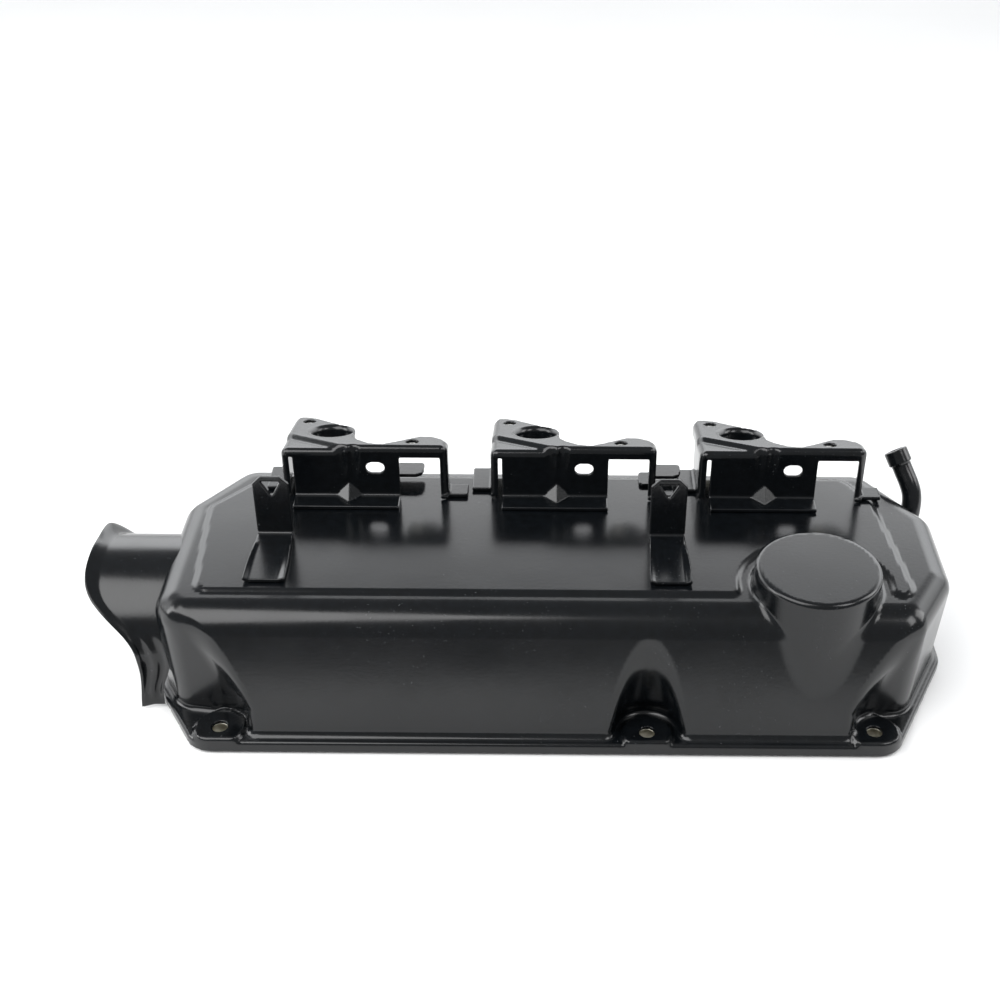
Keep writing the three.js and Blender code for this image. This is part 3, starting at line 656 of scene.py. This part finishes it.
def bracket_middle(x, y, z):
    """The bracket's folds: a face and a falling plate with a low ledge, two darts pressed into their
    fold, a boot hole turned down, legs at the ends, feet, and a gusset pressed into the foot's fold."""
    back, above = plate_frame(y, z)
    ledge = 2.2 * smooth((22 * (1 - (x - PLATE_LEFT) / 34) - back) / 5.0 + 0.5)
    half = BRACKET_SHEET / 2
    block = overlap(half - y, above + half + ledge, FOLD_RADIUS)
    ends = overlap(PLATE_LEFT + half - x, x - PLATE_RIGHT + half, FOLD_RADIUS)
    block = overlap(block, ends, FOLD_RADIUS)
    for place in DART_PLACES:
        trough = -0.2 - 0.175 * (BRACKET_HEIGHT - half - z)
        block = overlap(block, DART_RADIUS - np.hypot(x - place, y - trough), 0.9)
    around_boot = np.hypot(x - BOOT_HOLE[0], back - BOOT_HOLE[1])
    block = overlap(block, BOOT_RADIUS + half - around_boot, 2.2)
    gusset = (0.8 * np.abs(x - GUSSET_PLACE) - 6.2 + 0.9 * (half - y) + 0.75 * (z - half)) / 1.3
    gusset = both(gusset, z - GUSSET_HEIGHT, y - 3)
    return union(union(block, z - half, 2.4), gusset, 0.8)


def bracket_keep(x, y, z):
    """What is left of the folds: the plate's outline, the boot's collar, the face, the legs and the feet,
    less the screw holes and the slot."""
    back, above = plate_frame(y, z)
    top = both(outline_distance(x, back, PLATE_OUTLINE), -7 - above)
    around_boot = np.hypot(x - BOOT_HOLE[0], back - BOOT_HOLE[1])
    collar = both(around_boot - BOOT_RADIUS - 2.2, -8 - above, 4 - back)
    face = both(slab(x, FACE_LEFT, FACE_RIGHT), y - 4, slab(y, FOOT_FRONT, 4))
    left_leg = both(slab(y, *LEFT_LEG), x - PLATE_LEFT - 4)
    left_leg = both(left_leg, np.where(x < PLATE_LEFT, slab(y, *LEFT_FOOT), CLEAR))
    right_leg = both(slab(y, *RIGHT_LEG), PLATE_RIGHT - 4 - x)
    right_leg = both(right_leg, np.where(x > PLATE_RIGHT, slab(y, *RIGHT_FOOT), CLEAR))
    feet = both(slab(x, PLATE_LEFT - FOOT_REACH, PLATE_RIGHT + FOOT_REACH), slab(z, -3, 40))
    kept = both(either(top, collar, face, left_leg, right_leg), feet)
    for hole in (REAR_SCREW, FRONT_SCREW):
        drilled = SCREW_HOLE - np.hypot(x - hole[0], back - hole[1])
        kept = both(kept, np.where(above > -6, drilled, CLEAR))
    past_middle = np.maximum(np.abs(x - SLOT_PLACE) - SLOT_HALF, 0)
    slot = SLOT_RADIUS - np.hypot(past_middle, z - (BRACKET_HEIGHT - SLOT_DROP))
    return both(kept, np.where(y < 6, slot, CLEAR))


BRACKET_LOW = (PLATE_LEFT - FOOT_REACH, FOOT_FRONT, 0)
BRACKET_HIGH = (PLATE_RIGHT + FOOT_REACH, PLATE_REAR, BRACKET_HEIGHT)


def coil_bracket_mesh():
    box = (BRACKET_LOW, BRACKET_HIGH)
    return folded_sheet(bracket_middle, bracket_keep, BRACKET_SHEET, box, 0.85)


def bracket_origin(number):
    """Where a bracket's own frame lies on the cover."""
    low, _ = node_box(f"coil_bracket_{number}")
    return low - BRACKET_LOW


# The loom tab's frame: x from its middle, y from its upright's front face, z from the roof.
TAB_WIDTH, TAB_HEIGHT, TAB_FOOT, TAB_SHEET = 18.0, 35.0, 39.0, 2.0
TAB_CHAMFER = 4
TAB_HOLE = [(5, TAB_HEIGHT - 2.5), (-5, TAB_HEIGHT - 2.5), (0, TAB_HEIGHT - 11.5)]
TAB_HOLE_CORNER = 0.8
TAB_NOTCH = 1.2  # relief at each end of the fold


def tab_middle(x, y, z):
    """An upright folded into a long foot whose side edges curl up."""
    curl = 0.9 * smooth((np.abs(x) - 6.5) / 4) * smooth((-y - 6) / 6)
    return union(TAB_SHEET / 2 - y, z - TAB_SHEET / 2 - curl, 2.5)


def tab_keep(x, y, z):
    """The tab's outline with its cut corners, three-cornered hole and relief notches."""
    half = TAB_WIDTH / 2 + 1.2 * smooth(-y / 30)
    sheet = both(np.abs(x) - half, z - TAB_HEIGHT, -TAB_FOOT - y)
    chamfer = (np.abs(x) - TAB_WIDTH / 2 + (z - TAB_HEIGHT) + TAB_CHAMFER) / math.sqrt(2)
    hole = polygon(x, z, TAB_HOLE, TAB_HOLE_CORNER)
    notch = TAB_NOTCH - np.hypot(np.abs(x) - TAB_WIDTH / 2, np.hypot(y - 1, z - 2))
    return both(sheet, chamfer, np.where(y > -1.5, -hole, CLEAR), notch)


def loom_tab_mesh():
    box = ((-11, -TAB_FOOT, 0), (11, TAB_SHEET, TAB_HEIGHT))
    return folded_sheet(tab_middle, tab_keep, TAB_SHEET, box, 0.6)


# The rear clip's frame: x from its middle, y from its front edge, z from the roof.
CLIP_LENGTH, CLIP_WIDTH, CLIP_RISE, CLIP_SHEET = 22.0, 12.0, 5.0, 1.5
CLIP_FOOT, CLIP_JOGGLE = 5.4, 3.5  # the foot's length and the run of the joggle after it
CLIP_CORNER = 2


def clip_middle(x, y, z):
    """A flat foot that joggles up into a raised tongue."""
    height = CLIP_SHEET / 2 + CLIP_RISE * smooth((x + CLIP_LENGTH / 2 - CLIP_FOOT) / CLIP_JOGGLE)
    return (z - height) * 0.8


def clip_keep(x, y, z):
    """The clip's outline, with the tongue's front corner cut away."""
    half = CLIP_LENGTH / 2
    corners = [
        (-half, 0),
        (half - 4, 0),
        (half - 1, 1.5),
        (half, 5),
        (half, CLIP_WIDTH),
        (-half, CLIP_WIDTH),
    ]
    return polygon(x, y, corners, CLIP_CORNER)


def rear_clip_mesh():
    half = CLIP_LENGTH / 2
    box = ((-half, 0, 0), (half, CLIP_WIDTH, CLIP_RISE + CLIP_SHEET))
    return folded_sheet(clip_middle, clip_keep, CLIP_SHEET, box, 0.6, 0.4)


def sheet_piece(name, made, place):
    """A piece from a folded sheet's points, quads and field."""
    points, quads, field = made
    piece = mesh_object(name, points, quads, place)
    shade_from(piece, [(field, 1)], place)
    return piece


# ---------------------------------------------------------------- breather
TUBE_RADIUS, TUBE_BORE = 5.2, 3.8
BEAD_RADIUS, BEAD_LENGTH = 6.3, 8.0
COLLAR_RADIUS, COLLAR_THICKNESS = 9.0, 2.5
COLLAR_EDGE, COLLAR_STAND = 1.8, 0.9
TUBE_ROOT_INSET, TUBE_ROOT_DROP = 44.0, 20.0

# The tube's bends, from its root: aside, to the rear, up.
TUBE_BEND = [
    (7, 3.5, 1.5),
    (8.6, 6, 7.5),
    (8.6, 9, 13.5),
    (7.2, 11.5, 18),
    (4.2, 16, 24),
    (-0.4, 22, 33),
]


def rear_right_wall(y, z):
    """The point of the wall's cut rear right side at a y and a height."""
    (x0, y0), (x1, y1) = [np.array(c, float) for c in wall_corners(z)[3:5]]
    return np.array([x0 + (x1 - x0) * (y - y0) / (y1 - y0), y, z])


TUBE_ROOT = rear_right_wall(HALF_WIDTH - TUBE_ROOT_INSET, ROOF - TUBE_ROOT_DROP)
TUBE_ACROSS = rear_right_wall(TUBE_ROOT[1] + 1, TUBE_ROOT[2]) - TUBE_ROOT
TUBE_UP = rear_right_wall(TUBE_ROOT[1], TUBE_ROOT[2] + 1) - TUBE_ROOT
TUBE_AXIS = np.cross(TUBE_ACROSS, TUBE_UP)
TUBE_AXIS /= np.linalg.norm(TUBE_AXIS)


def spline(points, steps):
    """A centripetal curve through points, evenly stepped between each pair."""
    points = [2 * points[0] - points[1], *points, 2 * points[-1] - points[-2]]
    result = []
    for p0, p1, p2, p3 in zip(points, points[1:], points[2:], points[3:]):
        t1 = np.linalg.norm(p1 - p0) ** 0.5
        t2 = t1 + np.linalg.norm(p2 - p1) ** 0.5
        t3 = t2 + np.linalg.norm(p3 - p2) ** 0.5
        for t in np.linspace(t1, t2, steps, endpoint=False):
            a1 = p0 + (p1 - p0) * t / t1
            a2 = p1 + (p2 - p1) * (t - t1) / (t2 - t1)
            a3 = p2 + (p3 - p2) * (t - t2) / (t3 - t2)
            b1 = a1 + (a2 - a1) * t / t2
            b2 = a2 + (a3 - a2) * (t - t1) / (t3 - t1)
            result.append(b1 + (b2 - b1) * (t - t1) / (t2 - t1))
    return np.array([*result, points[-2]])


def swept(name, path, profile, sides, place):
    """A round wall swept along a path; profile lists (distance along it, radius) and closes on itself."""
    tangent = np.gradient(path, axis=0)
    tangent /= np.linalg.norm(tangent, axis=1, keepdims=True)
    across = np.cross(tangent, TUBE_ACROSS)
    across /= np.linalg.norm(across, axis=1, keepdims=True)
    other = np.cross(tangent, across)
    distance = np.append(0, np.cumsum(np.linalg.norm(np.diff(path, axis=0), axis=1)))
    points = []
    for travel, radius in profile:
        at = [np.interp(travel, distance, path[:, d]) for d in range(3)]
        side = np.array([np.interp(travel, distance, across[:, d]) for d in range(3)])
        turn = np.array([np.interp(travel, distance, other[:, d]) for d in range(3)])
        for k in range(sides):
            angle = 2 * math.pi * k / sides
            points.append(at + radius * (math.cos(angle) * side + math.sin(angle) * turn))
    rings = len(profile)
    faces = []
    for i in range(rings):
        for k in range(sides):
            after = (k + 1) % sides
            lower, upper = i * sides, ((i + 1) % rings) * sides
            faces.append((lower + k, lower + after, upper + after, upper + k))
    piece = mesh_object(name, points, faces, place)
    face_outwards(piece)
    piece.data.shade_smooth()
    return piece


def breather_tube():
    """The bent tube, from inside the wall to its open mouth behind a rolled bead."""
    straight = [TUBE_ROOT - 3 * TUBE_AXIS, TUBE_ROOT + 2 * TUBE_AXIS]
    path = spline(straight + [TUBE_ROOT + bend for bend in TUBE_BEND], 24)
    length = np.linalg.norm(np.diff(path, axis=0), axis=1).sum()
    bead = length - BEAD_LENGTH
    outside = [(travel, TUBE_RADIUS) for travel in np.linspace(0, bead - 1.2, 60)]
    rolled = [
        (
            bead + BEAD_LENGTH / 2 * (1 - math.cos(angle)),
            TUBE_RADIUS + (BEAD_RADIUS - TUBE_RADIUS) * min(1, 2.2 * math.sin(angle)),
        )
        for angle in np.linspace(0.05, math.pi * 0.93, 24)
    ]
    mouth = [(length, TUBE_RADIUS + 0.2), (length, TUBE_BORE + 0.3)]
    bore = [(travel, TUBE_BORE) for travel in np.linspace(length - 0.4, 0, 60)]
    return swept("breather_tube_enamel", path, outside + rolled + mouth + bore, 40, SHELL_PLACE)


def breather_collar():
    """The ring round the tube's root, with a rounded outer edge."""
    ends = (COLLAR_STAND, COLLAR_STAND + COLLAR_THICKNESS)
    path = np.array([TUBE_ROOT + end * TUBE_AXIS for end in ends])
    top, inner = COLLAR_THICKNESS, TUBE_RADIUS + 0.3
    rounded = [
        (
            top - COLLAR_EDGE + COLLAR_EDGE * math.sin(angle),
            COLLAR_RADIUS - COLLAR_EDGE + COLLAR_EDGE * math.cos(angle),
        )
        for angle in np.linspace(0, math.pi / 2, 9)
    ]
    profile = [(0, inner), (0, COLLAR_RADIUS)] + rounded + [(top, inner)]
    return swept("breather_collar_enamel", path, profile, 48, SHELL_PLACE)


# ---------------------------------------------------------------- nodes for materials and repeats
def linear(colour):
    """A linear colour from an sRGB hex value."""
    channels = [int(colour[i : i + 2], 16) / 255 for i in (1, 3, 5)]
    return (*[c / 12.92 if c <= 0.04045 else ((c + 0.055) / 1.055) ** 2.4 for c in channels], 1)


def add(tree, kind, inputs=None, **settings):
    """Adds a node, sets its properties, and sets or links its inputs."""
    node = tree.nodes.new(kind)
    for name, value in settings.items():
        setattr(node, name, value)
    for name, value in (inputs or {}).items():
        if isinstance(value, bpy.types.NodeSocket):
            tree.links.new(value, node.inputs[name])
        else:
            node.inputs[name].default_value = value
    return node


def material(name, **shader):
    """An empty node material with a principled shader; returns the material, its tree and the shader."""
    made = bpy.data.materials.new(name)
    made.use_nodes = True
    tree = made.node_tree
    tree.nodes.clear()
    surface = add(tree, "ShaderNodeBsdfPrincipled", shader)
    add(tree, "ShaderNodeOutputMaterial", {"Surface": surface.outputs["BSDF"]})
    return made, tree, surface


def calculated(tree, operation, first, second):
    """One sum of two values."""
    return add(tree, "ShaderNodeMath", {0: first, 1: second}, operation=operation).outputs[0]


def noise(tree, place, scale, detail=3.0, roughness=0.5):
    """A cloudy value between 0 and 1, with this many clouds to the metre."""
    inputs = {"Vector": place, "Scale": scale, "Detail": detail, "Roughness": roughness}
    return add(tree, "ShaderNodeTexNoise", inputs).outputs["Fac"]


def spread(tree, value, low, high, to_low, to_high):
    """A value moved from one range to another, and held within it."""
    inputs = {"Value": value, "From Min": low, "From Max": high, "To Min": to_low, "To Max": to_high}
    return add(tree, "ShaderNodeMapRange", inputs).outputs["Result"]


def mixed(tree, share, first, second):
    """A colour between two, by a share."""
    node = add(tree, "ShaderNodeMix", data_type="RGBA")
    for socket, value in ((0, share), (6, first), (7, second)):
        if isinstance(value, bpy.types.NodeSocket):
            tree.links.new(value, node.inputs[socket])
        else:
            node.inputs[socket].default_value = value
    return node.outputs[2]


def mottled(tree, place, scale, first, second, contrast=0.2):
    """Two tones in soft clouds."""
    clouds = spread(tree, noise(tree, place, scale), 0.5 - contrast, 0.5 + contrast, 0, 1)
    return mixed(tree, clouds, linear(first), linear(second))


def dressed(tree, surface, tone, rough, height, strength):
    """Gives a shader its tone, its roughness and a fine relief."""
    relief = {"Height": height, "Strength": strength, "Distance": 0.0001}
    bump = add(tree, "ShaderNodeBump", relief)
    tree.links.new(tone, surface.inputs["Base Color"])
    tree.links.new(rough, surface.inputs["Roughness"])
    tree.links.new(bump.outputs[0], surface.inputs["Normal"])


def black_enamel(name, colour, sheen, gloss, peel):
    """Stoved black enamel: a deep black with a soft shine, orange peel about 1.5 mm across, faint
    handling smears that dull it in patches, and a scatter of pale dust specks."""
    made, tree, surface = material(name, **{"IOR": 1.5, "Metallic": 0.0})
    place = add(tree, "ShaderNodeTexCoord").outputs["Object"]
    smear = noise(tree, place, 14, 4, 0.6)
    grain = noise(tree, place, 260, 2)
    rough = spread(tree, smear, 0.35, 0.7, gloss - 0.035, gloss + 0.06)
    speck = spread(tree, noise(tree, place, 900, 1), 0.735, 0.76, 0, 1)
    patch = spread(tree, noise(tree, place, 25, 2), 0.45, 0.7, 0, 0.5)
    speckled = calculated(tree, "MULTIPLY", speck, patch)
    tone = mixed(tree, spread(tree, grain, 0.3, 0.7, 0, 1), linear(colour), linear(sheen))
    tree.links.new(mixed(tree, speckled, tone, linear("#6d7072")), surface.inputs["Base Color"])
    tree.links.new(rough, surface.inputs["Roughness"])
    fine = {"Height": noise(tree, place, 650, 2), "Strength": peel, "Distance": 0.00008}
    fine = add(tree, "ShaderNodeBump", fine)
    wave = {"Height": noise(tree, place, 18, 1), "Strength": 0.2, "Distance": 0.0008}
    wave = add(tree, "ShaderNodeBump", {**wave, "Normal": fine.outputs[0]})
    tree.links.new(wave.outputs[0], surface.inputs["Normal"])
    return made


def moulded_rubber():
    """Moulded nitrile rubber: a dull brownish black, slightly mottled, with a fine moulded grain."""
    made, tree, surface = material("moulded_nitrile_rubber", **{"IOR": 1.52, "Metallic": 0.0})
    place = add(tree, "ShaderNodeTexCoord").outputs["Object"]
    tone = mottled(tree, place, 60, "#26231f", "#37332e")
    rough = spread(tree, noise(tree, place, 200), 0.3, 0.7, 0.72, 0.9)
    dressed(tree, surface, tone, rough, noise(tree, place, 1500), 0.3)
    return made


def zinc_plate():
    """Turned steel with bright zinc plating: a warm grey metal with fine turning lines and clouds."""
    made, tree, surface = material("zinc_plated_turned_steel", **{"Metallic": 1.0})
    place = add(tree, "ShaderNodeTexCoord").outputs["Object"]
    turned = add(tree, "ShaderNodeMapping", {"Vector": place, "Scale": (1, 1, 40)}).outputs[0]
    line = noise(tree, turned, 90, 2)
    tone = mottled(tree, place, 150, "#a8a596", "#c9c6bb")
    dressed(tree, surface, tone, spread(tree, line, 0.3, 0.7, 0.28, 0.45), line, 0.15)
    return made


def rolled_steel():
    """Bare rolled steel sheet: a dark grey metal with streaks along the rolling and oil stains."""
    made, tree, surface = material("bare_rolled_steel", **{"Metallic": 1.0})
    place = add(tree, "ShaderNodeTexCoord").outputs["Object"]
    rolled = add(tree, "ShaderNodeMapping", {"Vector": place, "Scale": (1, 30, 30)}).outputs[0]
    streak = noise(tree, rolled, 40, 3)
    tone = mottled(tree, place, 30, "#55575a", "#7c7f82", 0.15)
    dressed(tree, surface, tone, spread(tree, streak, 0.3, 0.7, 0.35, 0.55), streak, 0.1)
    return made


# ---------------------------------------------------------------- repeated small parts
BUSH_EDGE = 0.3
NUT_ACROSS_FLATS = 9
NUT_SIZES = {"Corner radius": NUT_ACROSS_FLATS / math.sqrt(3), "Bore radius": 2.55, "Height": 4.5}


def shape_tree(name, sizes):
    """A geometry node tree with a geometry in and out, a material and named sizes."""
    tree = bpy.data.node_groups.new(name, "GeometryNodeTree")
    tree.interface.new_socket("Geometry", in_out="OUTPUT", socket_type="NodeSocketGeometry")
    tree.interface.new_socket("Places", in_out="INPUT", socket_type="NodeSocketGeometry")
    tree.interface.new_socket("Coat", in_out="INPUT", socket_type="NodeSocketMaterial")
    for size in sizes:
        tree.interface.new_socket(size, in_out="INPUT", socket_type="NodeSocketFloat")
    return tree, add(tree, "NodeGroupInput").outputs


def set_out(tree, given, shape, turn):
    """Ends a tree: the shape at every place, as real geometry with its material."""
    at_places = {"Points": given["Places"], "Instance": shape, "Rotation": turn}
    spots = add(tree, "GeometryNodeInstanceOnPoints", at_places)
    real = add(tree, "GeometryNodeRealizeInstances", {"Geometry": spots.outputs["Instances"]})
    coated = add(tree, "GeometryNodeSetMaterial", {"Geometry": real.outputs[0], "Material": given["Coat"]})
    add(tree, "NodeGroupOutput", {"Geometry": coated.outputs[0]})
    return tree


def bush_tree():
    """A turned ring with its edges broken, at every place."""
    tree, given = shape_tree("turned_bushes", ["Outer radius", "Bore radius", "Height", "Broken edge"])
    radii = calculated(tree, "ADD", given["Outer radius"], given["Bore radius"])
    middle = calculated(tree, "MULTIPLY", radii, 0.5)
    wall = calculated(tree, "SUBTRACT", given["Outer radius"], given["Bore radius"])
    ring = add(tree, "GeometryNodeCurvePrimitiveCircle", {"Resolution": 48, "Radius": middle})
    section = {"Width": wall, "Height": given["Height"]}
    section = add(tree, "GeometryNodeCurvePrimitiveQuadrilateral", section)
    eased = {"Curve": section.outputs[0], "Radius": given["Broken edge"], "Count": 3}
    eased = add(tree, "GeometryNodeFilletCurve", eased, mode="POLY")
    swept_ring = {"Curve": ring.outputs[0], "Profile Curve": eased.outputs[0]}
    swept_ring = add(tree, "GeometryNodeCurveToMesh", swept_ring)
    return set_out(tree, given, swept_ring.outputs[0], (0, 0, 0))


def nut_tree():
    """A six-sided weld nut with a clear bore, tilted with the plate, at every place."""
    tree, given = shape_tree("weld_nuts", ["Corner radius", "Bore radius", "Height"])
    block = {"Vertices": 6, "Radius": given["Corner radius"], "Depth": given["Height"]}
    block = add(tree, "GeometryNodeMeshCylinder", block)
    depth = calculated(tree, "MULTIPLY", given["Height"], 2)
    drill = {"Vertices": 32, "Radius": given["Bore radius"], "Depth": depth}
    drill = add(tree, "GeometryNodeMeshCylinder", drill)
    nut = add(tree, "GeometryNodeMeshBoolean", operation="DIFFERENCE", solver="EXACT")
    tree.links.new(block.outputs["Mesh"], nut.inputs["Mesh 1"])
    tree.links.new(drill.outputs["Mesh"], nut.inputs["Mesh 2"])
    return set_out(tree, given, nut.outputs["Mesh"], (-TILT, 0, 0))


def repeated(name, tree, nodes, coat, sizes):
    """One plain mesh of the tree's shape at the middle of each CAD node."""
    middles = [sum(node_box(node)) / 2 * MM for node in nodes]
    mesh = bpy.data.meshes.new(name)
    mesh.from_pydata([tuple(place) for place in middles], [], [])
    piece = bpy.data.objects.new(name, mesh)
    bpy.context.scene.collection.objects.link(piece)
    made = piece.modifiers.new("repeat", "NODES")
    made.node_group = tree
    for socket in tree.interface.items_tree:
        if socket.name in sizes:
            made[socket.identifier] = sizes[socket.name] * MM
        elif socket.name == "Coat":
            made[socket.identifier] = coat
    return applied(piece)


BODY_ENAMEL = black_enamel("stoved_black_enamel", "#07090b", "#0c0f12", 0.18, 0.2)
BRACKET_ENAMEL = black_enamel("dipped_black_enamel", "#090b0d", "#0e1114", 0.2, 0.25)
GASKET_RUBBER = moulded_rubber()
ZINC = zinc_plate()
BAFFLE_STEEL = rolled_steel()


def finish_piece(piece, node_names, coat):
    """Gives a piece its finish and puts it on the cover in place of its CAD nodes."""
    piece.data.materials.clear()
    piece.data.materials.append(coat)
    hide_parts(*node_names)
    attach(piece, "root")


# ---------------------------------------------------------------- the pieces
finish_piece(cover_shell(), ["cover_shell"], BODY_ENAMEL)
finish_piece(cowl(), ["cam_end_cowl"], BODY_ENAMEL)
finish_piece(breather_tube(), ["breather_tube"], BODY_ENAMEL)
finish_piece(breather_collar(), ["breather_collar"], BODY_ENAMEL)

bracket_made = coil_bracket_mesh()
for number in (1, 2, 3):
    piece = sheet_piece(f"coil_bracket_{number}_enamel", bracket_made, bracket_origin(number))
    finish_piece(piece, [f"coil_bracket_{number}"], BRACKET_ENAMEL)

tab_made = loom_tab_mesh()
clip_made = rear_clip_mesh()
for side in ("left", "right"):
    low, high = node_box(f"loom_tab_{side}")
    place = ((low[0] + high[0]) / 2, high[1] - TAB_SHEET, low[2])
    tab = sheet_piece(f"loom_tab_{side}_enamel", tab_made, place)
    finish_piece(tab, [f"loom_tab_{side}"], BRACKET_ENAMEL)
    low, high = node_box(f"rear_clip_{side}")
    place = ((low[0] + high[0]) / 2, low[1], low[2])
    clip = sheet_piece(f"rear_clip_{side}_enamel", clip_made, place)
    finish_piece(clip, [f"rear_clip_{side}"], BRACKET_ENAMEL)

bush_nodes = [f"bolt_bush_{name}" for name in BOLTS]
bush_low, bush_high = node_box(bush_nodes[0])
bush_sizes = {
    "Outer radius": (bush_high[0] - bush_low[0]) / 2,
    "Bore radius": BOLT_HOLE,
    "Height": bush_high[2] - bush_low[2],
    "Broken edge": BUSH_EDGE,
}
bushes = repeated("bolt_bushes_zinc", bush_tree(), bush_nodes, ZINC, bush_sizes)
finish_piece(bushes, bush_nodes, ZINC)

nut_nodes = [f"coil_nut_{number}_{row}" for number in (1, 2, 3) for row in ("front", "rear")]
nuts = repeated("coil_nuts_zinc", nut_tree(), nut_nodes, ZINC, NUT_SIZES)
finish_piece(nuts, nut_nodes, ZINC)

carried = {"flange_gasket": GASKET_RUBBER, "breather_baffle": BAFFLE_STEEL}
for node_name, coat in carried.items():
    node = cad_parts[node_name]
    node.data.materials.clear()
    node.data.materials.append(coat)


# ---------------------------------------------------------------- studio
# Soft boxes in metres: name, place, what it faces, width, height, watts.
SOFT_BOXES = [
    ("left_box", (-1.2, -0.1, 0.6), (0, 0, 0.04), 0.5, 0.8, 7),
    ("right_box", (1.2, 0.1, 0.7), (0, 0, 0.04), 0.5, 0.8, 5),
    ("over_left_box", (-0.72, -0.62, 1.2), (-0.3, -0.2, 0.0), 1.15, 1.1, 17),
    ("over_right_box", (0.85, -0.55, 1.1), (0.2, -0.1, 0.0), 0.45, 0.6, 4),
]
FLOOR_SIZE = 8
FLOOR_FRONT = -0.27  # the floor ends just in front of the cover, so the front wall reflects the dark
EYE = ((MIDDLE_X - 3) * MM, -0.6206, 0.5093)


def softbox(name, place, aim, width, height, power):
    """A rectangular soft light turned towards its aim."""
    light = bpy.data.lights.new(name, "AREA")
    light.shape = "RECTANGLE"
    light.size, light.size_y = width, height
    light.energy = power
    lamp = bpy.data.objects.new(name, light)
    lamp.location = place
    lamp.rotation_euler = (Vector(aim) - Vector(place)).to_track_quat("-Z", "Y").to_euler()
    bpy.context.scene.collection.objects.link(lamp)
    return lamp


def paper_floor():
    """White paper under the cover, from just in front of it to far behind."""
    middle = (0, FLOOR_FRONT + FLOOR_SIZE / 2, 0)
    bpy.ops.mesh.primitive_plane_add(size=FLOOR_SIZE, location=middle)
    floor = bpy.context.object
    floor.name = "studio_floor"
    paper, tree, surface = material("white_paper", **{"Roughness": 0.9, "IOR": 1.3})
    place = add(tree, "ShaderNodeTexCoord").outputs["Object"]
    tree.links.new(mottled(tree, place, 3, "#f8f8f8", "#fefefe"), surface.inputs["Base Color"])
    floor.data.materials.append(paper)


def studio_air():
    """A dim room with a bright backdrop low behind the cover, brightest at its top edge."""
    world = bpy.data.worlds.new("studio_air")
    bpy.context.scene.world = world
    world.use_nodes = True
    tree = world.node_tree
    tree.nodes.clear()
    way = add(tree, "ShaderNodeTexCoord").outputs["Generated"]
    parts = add(tree, "ShaderNodeSeparateXYZ", {"Vector": way})
    back = spread(tree, parts.outputs["Y"], 0.0, 0.6, 0.0, 1.0)
    low = spread(tree, parts.outputs["Z"], 0.5, 0.63, 1.0, 0.0)
    glow = calculated(tree, "MULTIPLY", back, low)
    level = calculated(tree, "MULTIPLY", parts.outputs["Z"], 5.5)
    lit = calculated(tree, "MULTIPLY", glow, calculated(tree, "ADD", level, 1.4))
    strength = calculated(tree, "ADD", lit, 0.3)
    colour = (0.97, 0.985, 1.0, 1)
    air = add(tree, "ShaderNodeBackground", {"Color": colour, "Strength": strength})
    add(tree, "ShaderNodeOutputWorld", {"Surface": air.outputs[0]})


def camera():
    """Above and in front of the cover, looking down at 34 degrees."""
    lens = bpy.data.cameras.new("view")
    lens.lens = 54
    lens.sensor_width = 36
    lens.shift_x = -0.05
    lens.shift_y = 0.002
    eye = bpy.data.objects.new("view", lens)
    turn = Matrix.Rotation(math.radians(56), 4, "X") @ Matrix.Rotation(math.radians(0.45), 4, "Z")
    eye.matrix_world = Matrix.Translation(EYE) @ turn
    bpy.context.scene.collection.objects.link(eye)
    bpy.context.scene.camera = eye


bpy.context.scene.view_settings.view_transform = "Standard"
paper_floor()
for soft_box in SOFT_BOXES:
    softbox(*soft_box)
studio_air()
camera()
